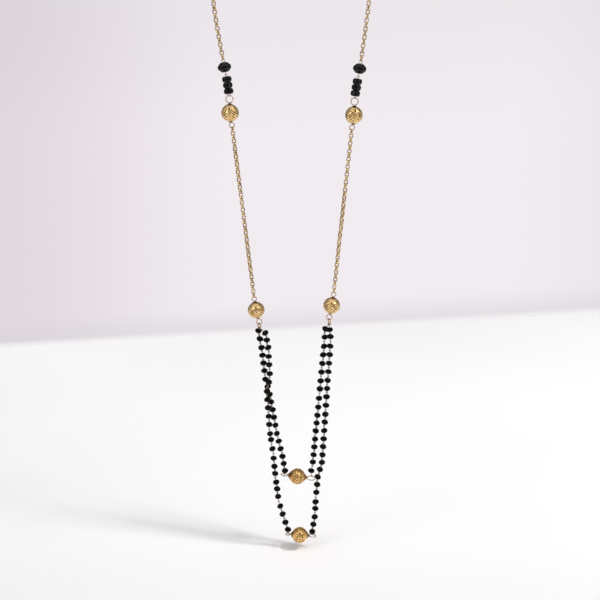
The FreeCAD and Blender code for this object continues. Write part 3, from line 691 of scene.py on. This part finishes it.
# --------------------------------------------------------------------------
# Faceted black beads
# --------------------------------------------------------------------------
def rondelle(sides, levels, hole, soft, pick, uneven=0.10):
    """Points, faces and wear of one cut glass bead about Z.  levels: radius
    and height from the flat round the hole down to the girdle; each level is
    half a facet on from the one above it, and the lower half mirrors them."""
    bm = bmesh.new()
    rows = [(r, h) for r, h in levels] + [(r, -h) for r, h in reversed(levels)]
    count = len(levels)
    shifts = [pick.uniform(-uneven, uneven) for _ in range(sides)]
    half = levels[0][1]
    rings = []
    for number, (r, h) in enumerate(rows):
        depth = min(number, len(rows) - 1 - number)
        step = 0.5 * ((count - 1 - depth) % 2)
        ring = []
        for k in range(sides):
            a = 2 * math.pi * (k + step + shifts[k] * 0.8) / sides
            rr = r * (1 - abs(shifts[(k * 3) % sides]) * 0.16)
            low = abs(shifts[(k * 5 + 1) % sides]) * (0.3 if depth else 0.0)
            ring.append(bm.verts.new((rr * math.cos(a), rr * math.sin(a), h * (1 - low))))
        rings.append((ring, step))
    for (a, sa), (b, sb) in zip(rings, rings[1:]):
        for k in range(sides):
            l = (k + 1) % sides
            if sa == sb:
                bm.faces.new((a[k], b[k], b[l], a[l]))
            elif sa > sb:
                bm.faces.new((a[k], b[k], b[l]))
                bm.faces.new((a[k], b[l], a[l]))
            else:
                bm.faces.new((a[k], b[k], a[l]))
                bm.faces.new((a[l], b[k], b[l]))
    bm.faces.new(rings[0][0])
    bm.faces.new(rings[-1][0][::-1])
    bmesh.ops.recalc_face_normals(bm, faces=bm.faces)
    bmesh.ops.bevel(bm, geom=list(bm.edges), offset=soft, segments=2, profile=0.55,
                    affect="EDGES", clamp_overlap=True)
    bm.normal_update()
    table = levels[0][0]
    # the hole: the flat faces at both ends get a rim and a well
    for sign in (1, -1):
        flat = max((f for f in bm.faces if f.normal.z * sign > 0.9),
                   key=lambda f: f.calc_area())
        bmesh.ops.inset_region(bm, faces=[flat], thickness=0.12 * table, depth=0.0)
        middle = flat.calc_center_median()
        bmesh.ops.inset_individual(bm, faces=[flat], thickness=1e-4)
        for v in flat.verts:
            d = (v.co - middle)
            d.z = 0
            v.co = Vector((0, 0, middle.z)) + d.normalized() * hole
        bmesh.ops.inset_individual(bm, faces=[flat], thickness=1e-5)
        for v in flat.verts:
            v.co.z -= sign * half * 0.7
    bmesh.ops.triangulate(bm, faces=bm.faces)
    bm.verts.ensure_lookup_table()
    pts = np.array([v.co[:] for v in bm.verts])
    # as wide as asked, whatever the rounding took off
    pts[:, :2] *= max(r for r, h in levels) / np.hypot(pts[:, 0], pts[:, 1]).max()
    faces = [[v.index for v in f.verts] for f in bm.faces]
    out = np.hypot(pts[:, 0], pts[:, 1])
    wear = np.clip((table * 0.75 - out) / (table * 0.75 - hole + 1e-6), 0, 1)
    bm.free()
    return pts, faces, wear


def soften(piece):
    """Facets stay flat and only their rounded edges are shaded smooth."""
    m = piece.modifiers.new("facet_shading", "WEIGHTED_NORMAL")
    m.keep_sharp = False
    m.weight = 90
    m.mode = "FACE_AREA"


bead_pick = random.Random(7321)
for side in ("left", "right"):
    x, y, z, lean, half, od_up, od_down, turn_up, turn_down = PINS[side + "_group_wire"]
    m = lean_matrix(lean)
    for number, shift in ((1, 2.30), (2, 0.0), (3, -2.30)):
        # each of the three sits a little askew on the wire
        askew = lean_matrix(bead_pick.uniform(-0.7, 0.7)) @ about_z(bead_pick.uniform(0, 360))
        pts, faces, wear = rondelle(12, [(1.22, 1.145), (1.72, 0.88), (1.90, 0.44)], 0.22,
                                    0.10, bead_pick)
        shell = Shell()
        shell.add(vec(x, y, z) + m @ vec(0, 0, shift) + (pts * 0.996) @ (m @ askew).T,
                  faces, wear)
        name = "%s_group_bead_%d" % (side, number)
        soften(make_piece("cut_" + name, shell, GLASS_BRIGHT, [name]))
    shell = Shell()
    eye_pin(shell, vec(x, y, z), m, half, (od_up, 0.0, turn_up), (od_down, 0.0, turn_down),
            PIN_WIRE, sides=12, steps=40)
    make_piece("eye_pin_%s_group" % side, shell, PIN, [side + "_group_wire"])
    x, y, z, lean, half, od_up, od_down, turn_up, turn_down = PINS[side + "_large_wire"]
    m = lean_matrix(lean)
    pts, faces, wear = rondelle(14, [(1.25, 1.90), (2.12, 1.18), (2.70, 0.48)], 0.22, 0.18,
                                bead_pick)
    shell = Shell()
    shell.add(vec(x, y, z) + (pts * 0.995) @ (m @ about_z(11)).T, faces, wear)
    soften(make_piece("cut_%s_large_bead" % side, shell, GLASS_BRIGHT, [side + "_large_bead"]))
    shell = Shell()
    eye_pin(shell, vec(x, y, z), m, half, (od_up, 0.0, turn_up), (od_down, 0.0, turn_down),
            PIN_WIRE, sides=12, steps=40)
    make_piece("eye_pin_%s_large" % side, shell, PIN, [side + "_large_wire"])


# --------------------------------------------------------------------------
# Link chains
# --------------------------------------------------------------------------
def oval_link(half_length, half_width, wire, steps=28, sides=12):
    """One link about the origin, long way along Z, flat in XZ."""
    straight = half_length - half_width
    path = []
    for k in range(steps):
        a = 2 * math.pi * (k + 0.5) / steps
        c, s = math.cos(a), math.sin(a)
        path.append((half_width * c, 0.0, half_width * s + straight * np.sign(s) *
                     min(1.0, abs(s) * 2.2)))
    shell = Shell()
    thick = np.full(steps, LINK_BAND)
    thick[0] *= 1.05   # where the link is soldered
    thick[-1] *= 1.05
    sweep(shell, path, thick, sides, closed=True, first=(0, 1, 0), squeeze=wire / LINK_BAND)
    return shell.points[0], shell.faces


def link_run(shell, line, hold_a, hold_b, first_roll, last_odd, twist, pick):
    """Links along a line of points from one holding wire to another.
    first_roll is the end link's turn; last_odd says that the last link is a
    quarter turn from the first."""
    p = np.asarray(line, float)
    s = np.r_[0, np.cumsum(np.linalg.norm(np.diff(p, axis=0), axis=1))]

    def at(run):
        q = np.array([np.interp(run, s, p[:, k]) for k in range(3)])
        ahead = np.array([np.interp(min(run + 0.4, s[-1]), s, p[:, k]) for k in range(3)])
        back = np.array([np.interp(max(run - 0.4, 0), s, p[:, k]) for k in range(3)])
        return q, unit(ahead - back)

    half = (LINK_PITCH + 0.01) / 2 + LINK_WIRE + LINK_SLACK
    start = half - (hold_a + LINK_WIRE + GAP)
    stop = s[-1] - (half - (hold_b + LINK_WIRE + GAP))
    count = int(math.ceil((stop - start) / (LINK_PITCH + 0.008)))
    if count % 2 != (1 if last_odd else 0):
        count += 1
    pitch = (stop - start) / count
    half = (pitch + 0.012) / 2 + LINK_WIRE + LINK_SLACK
    pts, faces = oval_link(half, LINK_HALF_WIDTH, LINK_WIRE)
    for i in range(count + 1):
        centre, tangent = at(start + pitch * i)
        loose = math.sin(math.pi * i / count) ** 0.5 if 0 < i < count else 0.0
        roll = first_roll + 90.0 * (i % 2) + loose * (
            twist[0] + twist[1] * math.sin(i * twist[2]) + pick.uniform(-7, 7))
        tilt = pick.uniform(-3.0, 3.0) * loose
        m = frame_along(tangent, (1, 0, 0)) @ about_z(roll) @ lean_matrix(tilt)
        shell.add(centre + (pts @ m.T), faces)
    return count + 1, pitch


link_pick = random.Random(5150)
for side, twist in (("left", (24.0, 11.0, 0.23)), ("right", (-22.0, 12.0, 0.19))):
    top, top_ring = ball_loop(side + "_upper_ball", -1)
    low, low_ring = ball_loop(side + "_lower_ball", 1)
    down = unit(low - top)
    a, b = top + down * top_ring, low - down * low_ring
    line = [a + (b - a) * t for t in np.linspace(0, 1, 60)]
    shell = Shell()
    got = link_run(shell, line, BALL_WIRE, BALL_WIRE, 90.0, False, twist, link_pick)
    print("links", side, got)
    make_piece("links_%s_chain" % side, shell, CHAIN, [side + "_chain"])


def smooth_route(points):
    """Points read from a smooth curve through the route's control points."""
    curve = bpy.data.curves.new("route", "CURVE")
    curve.dimensions = "3D"
    spline = curve.splines.new("NURBS")
    spline.points.add(len(points) - 1)
    for q, p in zip(spline.points, points):
        q.co = (p[0], p[1], p[2], 1.0)
    spline.order_u = 3
    spline.use_endpoint_u = True
    spline.resolution_u = 24
    holder = bpy.data.objects.new("route", curve)
    scene.collection.objects.link(holder)
    bpy.context.view_layer.update()
    mesh = bpy.data.meshes.new_from_object(
        holder.evaluated_get(bpy.context.evaluated_depsgraph_get()))
    line = np.array([v.co[:] for v in mesh.vertices])
    bpy.data.objects.remove(holder)
    bpy.data.curves.remove(curve)
    bpy.data.meshes.remove(mesh)
    return line


# clasp line at the nape
CLASP_R, CLASP_TUBE, CLASP_LOOP, CLASP_WIRE, END_RING = 2.35, 0.65, 0.75, 0.25, 1.35
NAPE = 32.0
CLASP_Z = CLASP_R + CLASP_TUBE


def nape(run):
    turn = run / NAPE
    return vec(NAPE * math.sin(turn), 0, CLASP_Z - NAPE * (1 - math.cos(turn))), math.degrees(turn)


FIXED_RUN = -(CLASP_R + CLASP_TUBE + CLASP_LOOP - CLASP_WIRE * 0.4)
RING_RUN = CLASP_R - CLASP_TUBE - CLASP_WIRE - 0.05 + END_RING

for side, sign, twist in (("left", -1.0, (12.0, 16.0, 0.17)), ("right", 1.0, (-15.0, 14.0, 0.21))):
    x, y, z, lean, half, od_up, od_down, turn_up, turn_down = PINS[side + "_large_wire"]
    ring = od_up / 2.0 - PIN_WIRE
    loop = vec(x, y, z) + lean_matrix(lean) @ vec(0, 0, half + PIN_WIRE + ring)
    corners = [vec(sign * out, 0, h) for out, h in NECK_ROUTE]
    held_low = loop + unit(corners[-1] - loop) * ring
    if side == "left":
        held_top = nape(FIXED_RUN - CLASP_LOOP)[0]
    else:
        held_top = nape(RING_RUN + END_RING)[0]
    line = smooth_route([held_low] + corners[::-1] + [held_top])
    shell = Shell()
    # the left chain ends on an upright loop, the right one on a ring that lies flat
    got = link_run(shell, line, PIN_WIRE, CLASP_WIRE, 90.0, side == "right", twist, link_pick)
    print("neck links", side, got)
    make_piece("links_%s_neck_chain" % side, shell, CHAIN, [side + "_neck_chain"])


# --------------------------------------------------------------------------
# Clasp
# --------------------------------------------------------------------------
def arc(centre, e1, e2, radius, a0, a1, steps):
    return [centre + radius * (e1 * math.cos(a) + e2 * math.sin(a))
            for a in np.radians(np.linspace(a0, a1, steps))]


X, Y, Z = vec(1, 0, 0), vec(0, 1, 0), vec(0, 0, 1)
shell = Shell()
middle = vec(0, 0, CLASP_Z)
# the body of the spring ring, open on the lower right where the bolt shows
sweep(shell, arc(middle, X, Z, CLASP_R, -18, 298, 110), CLASP_TUBE, 28, first=Y, blunt=0.25)
sweep(shell, arc(middle, X, Z, CLASP_R, -72, -8, 30), 0.40, 18, first=Y, blunt=0.5)
for a in (-18, 298):     # turned collars at the mouth
    r = math.radians(a)
    at = middle + CLASP_R * (X * math.cos(r) + Z * math.sin(r))
    along = -X * math.sin(r) + Z * math.cos(r)
    sweep(shell, [at - along * 0.14, at - along * 0.05, at + along * 0.05, at + along * 0.14],
          [0.66, 0.645, 0.645, 0.66] if a > 0 else [0.66, 0.645, 0.645, 0.66], 28, first=Y,
          blunt=0.2)
# fixed loop with its soldered foot
fixed_at = nape(FIXED_RUN)[0]
sweep(shell, arc(fixed_at, X, Z, CLASP_LOOP, 0, 354, 48), CLASP_WIRE * 0.98, 16, closed=False,
      first=Y, blunt=0.4)
foot = fixed_at + X * (CLASP_LOOP - 0.05)
lathe(shell, [(0.0, -0.20), (0.30, -0.17), (0.40, 0.02), (0.34, 0.22), (0.0, 0.30)],
      frame_along(X, Z), foot, 20)
# finger knob in its slot
r = math.radians(90 - 35)
knob_at = middle + CLASP_R * (X * math.cos(r) + Z * math.sin(r))
knob_axis = X * math.cos(r) + Z * math.sin(r)
lathe(shell, [(0.0, 0.30), (0.20, 0.32), (0.20, 0.60), (0.24, 0.66), (0.46, 0.70), (0.53, 0.78),
              (0.53, 0.93), (0.46, 1.02), (0.28, 1.08), (0.0, 1.095)],
      frame_along(knob_axis, Y), knob_at, 28)
make_piece("spring_ring_clasp", shell, WIRE, ["clasp"])

ring_at, ring_turn = nape(RING_RUN)
m = lean_matrix(ring_turn)
shell = Shell()
sweep(shell, arc(ring_at, m @ X, m @ Y, END_RING, 121, 479.0, 72), CLASP_WIRE * 0.985, 16,
      first=m @ Z, blunt=0.12)
make_piece("jump_ring_clasp", shell, WIRE, ["clasp_end_ring"])


# --------------------------------------------------------------------------
# Junction rings and strands of small beads
# --------------------------------------------------------------------------
junction_low = {}
for side, (ball, od, turn) in JUNCTIONS.items():
    loop, ring = ball_loop(ball, -1)
    radius = od / 2.0 - RING_WIRE
    top = loop[2] - ring + BALL_WIRE + RING_WIRE + GAP
    centre = vec(loop[0], loop[1], top - radius)
    e1 = vec(math.cos(math.radians(turn)), math.sin(math.radians(turn)), 0)
    shell = Shell()
    seam = 32 if side == "left" else 148
    sweep(shell, arc(centre, e1, Z, radius, seam + 1.2, seam + 358.8, 64), RING_WIRE * 0.985,
          16, first=np.cross(e1, Z), blunt=0.12)
    make_piece("jump_ring_%s_junction" % side, shell, WIRE, [side + "_junction_ring"])
    junction_low[side] = (vec(loop[0], loop[1], top - 2 * radius), turn)


def ring_hold(strand):
    ball = "inner_centre_ball" if strand.startswith("inner") else "outer_centre_ball"
    sign = 1 if strand.endswith("right") else -1
    row = BALLS[ball]
    turn = math.radians((row[4] if sign > 0 else row[5])[2])
    centre, ring = ball_loop(ball, sign)
    across = lean_matrix(row[3]) @ vec(math.cos(turn), math.sin(turn), 0)
    return centre - across * ring if strand.startswith("inner") else centre + across * ring


def along(points, shifts):
    """A place for each shift, evenly spaced along the line but for it; a run
    past either end goes straight on."""
    p = np.asarray(points, float)
    s = np.r_[0, np.cumsum(np.linalg.norm(np.diff(p, axis=0), axis=1))]
    out = []
    for i, shift in enumerate(shifts):
        run = s[-1] * i / (len(shifts) - 1) + shift
        k = int(np.clip(np.searchsorted(s, run) - 1, 0, len(p) - 2))
        out.append(p[k] + (p[k + 1] - p[k]) * (run - s[k]) / (s[k + 1] - s[k]))
    return out


SMALL_HALF, SMALL_R = 0.94, 1.45
strand_pick = random.Random(90210)
kinds = [rondelle(n, [(0.80, SMALL_HALF), (1.29, 0.54), (SMALL_R, 0.14)], 0.20, 0.09,
                  random.Random(400 + n * 7 + k), 0.22)
         for k, n in enumerate((8, 9, 8, 10, 9, 8))]
for name, guide in GUIDES.items():
    side = name.split("_")[2]
    places = along(guide, SHIFTS[name])
    count = len(places)
    low, turn = junction_low[side]
    rad = math.radians(turn)
    shift = 0.25 if name.startswith("outer") else -0.25
    ring, wire = 0.50, STRAND_WIRE
    hang = low + vec(math.cos(rad), math.sin(rad), 0) * shift
    upper = hang + vec(0, 0, RING_WIRE + wire + 3 * GAP - ring)
    lower = ring_hold(name) + vec(0, 0, ring - (BALL_WIRE + wire + GAP))
    route = [upper - vec(0, 0, ring)] + places + [lower + vec(0, 0, ring)]
    beads, pins = Shell(), Shell()
    axes = []
    for k in range(count):
        tangent = unit(route[k + 2] - route[k])
        # beads sit askew on their wires
        wobble = vec(strand_pick.gauss(0, 0.16), strand_pick.gauss(0, 0.10),
                     strand_pick.gauss(0, 0.04))
        axes.append(unit(tangent + wobble))
    ends = []      # where the wire leaves each bead: upper side, lower side
    for k in range(count):
        pts, faces, wear = kinds[strand_pick.randrange(len(kinds))]
        m = frame_along(axes[k], (math.cos(k * 2.4), math.sin(k * 2.4), 0))
        grow = strand_pick.uniform(0.985, 1.035)
        beads.add(places[k] + (pts * grow) @ m.T, faces, wear)
        ends.append((places[k] - axes[k] * (SMALL_HALF * grow - 0.03),
                     places[k] + axes[k] * (SMALL_HALF * grow - 0.03)))
    eyes = [[None, None] for _ in range(count)]
    roll = strand_pick.uniform(0, 180)
    w = 0.13
    for k in range(count - 1):
        a, b = ends[k][1], ends[k + 1][0]
        gap = np.linalg.norm(b - a)
        g = (b - a) / gap
        r = min(0.36, max((gap - 0.08) / 4, 0.17))
        neck = max(0.0, (gap - 4 * r + 0.02) / 2)
        m = frame_along(g, (1, 0, 0))
        turn_a = roll + strand_pick.uniform(-20, 20)
        turn_b = turn_a + 90 + strand_pick.uniform(-12, 12)
        roll = turn_b + strand_pick.uniform(-25, 25)
        for slot_at, where, d, angle in ((k, a, g, turn_a), (k + 1, b, -g, turn_b)):
            e = m[:, 0] * math.cos(math.radians(angle)) + m[:, 1] * math.sin(math.radians(angle))
            line = eye(where, d, e, r, neck + w, 0.0, w,
                       1.0 if strand_pick.random() < 0.5 else -1.0, steps=20)
            eyes[slot_at][1 if slot_at == k else 0] = line
    # the first eye hangs in the junction ring, the last one holds the ball's eye
    a = ends[0][0]
    d = unit(upper - a)
    e = vec(math.cos(rad + math.pi / 2), math.sin(rad + math.pi / 2), 0)
    reach = np.linalg.norm(upper - a) - ring
    eyes[0][0] = eye(a, d, e, ring, reach, 0.0, wire, 1.0, steps=36)
    b = ends[-1][1]
    d = unit(lower - b)
    reach = np.linalg.norm(lower - b) - ring
    eyes[-1][1] = eye(b, d, vec(0, 1, 0), ring, reach, 0.0, wire, -1.0, steps=36)
    for k in range(count):
        up, down = eyes[k]
        if k == 0:
            sizes = [wire] * len(up) + [wire] + [w] * len(down)
        elif k == count - 1:
            sizes = [w] * len(up) + [wire] + [wire] * len(down)
        else:
            sizes = w
        sweep(pins, up[::-1] + [places[k]] + down, sizes, 9)
    soften(make_piece("beads_" + name, beads, GLASS, [name]))
    make_piece("pins_" + name, pins, THREAD, [name])

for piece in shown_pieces():
    if piece.name.split("_")[0] in ("engraved", "eye", "links", "pins", "jump", "spring",
                                    "cut", "beads"):
        turn_outward(piece)

# --------------------------------------------------------------------------
# Floor
# --------------------------------------------------------------------------
FLOOR_Z = -0.282
ends = [Vector((-0.223, 0.319, FLOOR_Z)), Vector((0.259, 0.430, FLOOR_Z))]
run = (ends[1] - ends[0]).normalized()
mid = (ends[0] + ends[1]) / 2
left, right = mid - run * 4.0, mid + run * 4.0
mesh = bpy.data.meshes.new("pale_floor")
mesh.from_pydata([left[:], right[:], (right.x, -4.0, FLOOR_Z), (left.x, -4.0, FLOOR_Z)], [],
                 [(3, 2, 1, 0)])
floor_material, tree, shader = new_material("pale_floor")
place = tree.nodes.new("ShaderNodeTexCoord").outputs["Object"]
spread = map_range(tree, noise(tree, place, 3.0, 2.0), 0.3, 0.7, 0.0, 1.0)
paper = mix_colour(tree, spread, (0.81, 0.81, 0.82), (0.85, 0.85, 0.86))
shader.inputs["Roughness"].default_value = 0.75
shader.inputs["Specular IOR Level"].default_value = 0.1
# the paper of the set glows a little, more to the rear
parts = tree.nodes.new("ShaderNodeSeparateXYZ")
link(tree, place, parts.inputs["Vector"])
# painted shade: the paper is darker towards the front and at both sides
for side, start, stop, less in (("Y", 0.01, -0.05, 0.045), ("X", -0.03, -0.13, 0.022),
                                ("X", -0.02, 0.12, 0.035)):
    paper = mix_colour(tree, map_range(tree, parts.outputs[side], start, stop, 0.0, less),
                       paper, (0.0, 0.0, 0.0))
link(tree, paper, shader.inputs["Base Color"])
# painted light: the glow is brighter at the rear and to the left, though the floor is no lamp
rear = mix_colour(tree, map_range(tree, parts.outputs["X"], -0.16, -0.01, 0.0, 1.0),
                  (0.265, 0.262, 0.270), (0.190, 0.186, 0.198))
glow = mix_colour(tree, map_range(tree, parts.outputs["Y"], -0.08, 0.42, 0.0, 1.0),
                  (0.015, 0.014, 0.018), rear)
link(tree, glow, shader.inputs["Emission Color"])
shader.inputs["Emission Strength"].default_value = 1.0
mesh.materials.append(floor_material)
floor = bpy.data.objects.new("pale_floor", mesh)
scene.collection.objects.link(floor)
floor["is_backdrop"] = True

# --------------------------------------------------------------------------
# World: a pale wall behind, and a soft room for the reflections
# --------------------------------------------------------------------------
world = bpy.data.worlds.new("studio")
scene.world = world
world.use_nodes = True
tree = world.node_tree
tree.nodes.clear()
direction = tree.nodes.new("ShaderNodeTexCoord").outputs["Generated"]


def dot_with(v, add=0.0):
    n = tree.nodes.new("ShaderNodeVectorMath")
    n.operation = "DOT_PRODUCT"
    n.inputs[1].default_value = v
    link(tree, direction, n.inputs[0])
    return n.outputs["Value"]


across = dot_with((1.0, 0.0, 0.0))
above = dot_with((-0.0606, 0.2629, 1.0))     # 0 along the wall's foot
# painted shade on the wall: darker to the left and right, in a band along its foot, and a little
# towards the top
wall = mix_colour(tree, map_range(tree, across, -0.30, -0.06, 0.0, 1.0),
                  (0.745, 0.69, 0.735), (0.885, 0.838, 0.875))
wall = mix_colour(tree, map_range(tree, across, 0.20, 0.32, 0.0, 0.5), wall,
                  (0.80, 0.75, 0.80))
wall = mix_colour(tree, map_range(tree, above, 0.0, 0.034, 0.55, 0.0), wall,
                  (0.69, 0.655, 0.69))
wall = mix_colour(tree, map_range(tree, above, 0.19, 0.33, 0.0, 0.05), wall,
                  (0.0, 0.0, 0.0))
seen = mix_colour(tree, map_range(tree, above, 0.0, 0.007, 0.0, 1.0),
                  (0.90, 0.885, 0.905), wall)
back = dot_with((0.0, 1.0, 0.0))
high = dot_with((0.0, 0.0, 1.0))
# dim behind the camera, brightest at the sides, dim again behind the piece
room = mix_colour(tree, map_range(tree, back, -0.90, -0.35, 0.0, 1.0),
                  (0.26, 0.25, 0.245), (0.48, 0.465, 0.455))
room = mix_colour(tree, map_range(tree, back, -0.15, 0.60, 0.0, 1.0), room,
                  (0.27, 0.255, 0.245))
room = mix_colour(tree, map_range(tree, high, 0.35, 0.95, 0.0, 0.6), room,
                  (0.28, 0.27, 0.265))
backgrounds = []
for colour, strength in ((room, 1.0), (seen, 1.0)):
    n = tree.nodes.new("ShaderNodeBackground")
    n.inputs["Strength"].default_value = strength
    link(tree, colour, n.inputs["Color"])
    backgrounds.append(n.outputs["Background"])
choose = tree.nodes.new("ShaderNodeMixShader")
link(tree, tree.nodes.new("ShaderNodeLightPath").outputs["Is Camera Ray"],
     choose.inputs["Fac"])
link(tree, backgrounds[0], choose.inputs[1])
link(tree, backgrounds[1], choose.inputs[2])
output = tree.nodes.new("ShaderNodeOutputWorld")
link(tree, choose.outputs["Shader"], output.inputs["Surface"])

# --------------------------------------------------------------------------
# Soft studio lights
# --------------------------------------------------------------------------
AIM = Vector((0.0, 0.0, -0.17))


def softbox(name, place, wide, high, radiance, colour, aim=AIM):
    lamp = bpy.data.lights.new(name, "AREA")
    lamp.shape = "RECTANGLE"
    lamp.size, lamp.size_y = wide, high
    lamp.energy = radiance * math.pi * wide * high
    lamp.color = colour
    holder = bpy.data.objects.new(name, lamp)
    holder.location = place
    holder.rotation_mode = "QUATERNION"
    holder.rotation_quaternion = (aim - Vector(place)).to_track_quat("-Z", "Y")
    holder.visible_camera = False
    scene.collection.objects.link(holder)
    return holder


softbox("softbox_left", (-0.75, -0.62, 0.22), 0.34, 0.46, 5.0, (1.0, 0.985, 0.96))
softbox("softbox_right", (0.60, -0.40, 0.50), 0.34, 0.34, 5.0, (1.0, 0.98, 0.96))
softbox("strip_right", (0.70, -0.62, -0.10), 0.16, 0.50, 2.6, (1.0, 0.93, 0.86))
softbox("overhead", (-0.10, -0.30, 1.25), 1.6, 1.6, 0.85, (1.0, 1.0, 1.0))
# a small lamp high on the right for the shadow on the floor; the metal and
# the glass don't mirror it
sun = softbox("shadow_lamp", (0.62, -0.226, 0.56), 0.14, 0.14, 98.0, (1.0, 0.995, 0.99),
              Vector((0.0, 0.0, -0.28)))
sun.visible_glossy = False

# --------------------------------------------------------------------------
# Camera
# --------------------------------------------------------------------------
elevation = math.radians(13.0)
target = Vector((0.0034, 0.0, -0.17165))
forward = Vector((0.0, math.cos(elevation), -math.sin(elevation)))
lens = bpy.data.cameras.new("camera")
lens.sensor_fit = "HORIZONTAL"
lens.sensor_width = 36.0
lens.lens = 60.0
lens.clip_start, lens.clip_end = 0.01, 50.0
camera = bpy.data.objects.new("camera", lens)
camera.location = target - forward * 0.410
camera.rotation_mode = "QUATERNION"
camera.rotation_quaternion = forward.to_track_quat("-Z", "Y")
scene.collection.objects.link(camera)
scene.camera = camera

scene.view_settings.view_transform = "Standard"
scene.view_settings.look = "None"

bpy.context.view_layer.update()
triangles = {o.name: sum(len(f.vertices) - 2 for f in o.data.polygons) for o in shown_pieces()
             if o.type == "MESH"}
print("triangles in all", sum(triangles.values()), "most", max(triangles.items(), key=lambda i: i[1]))
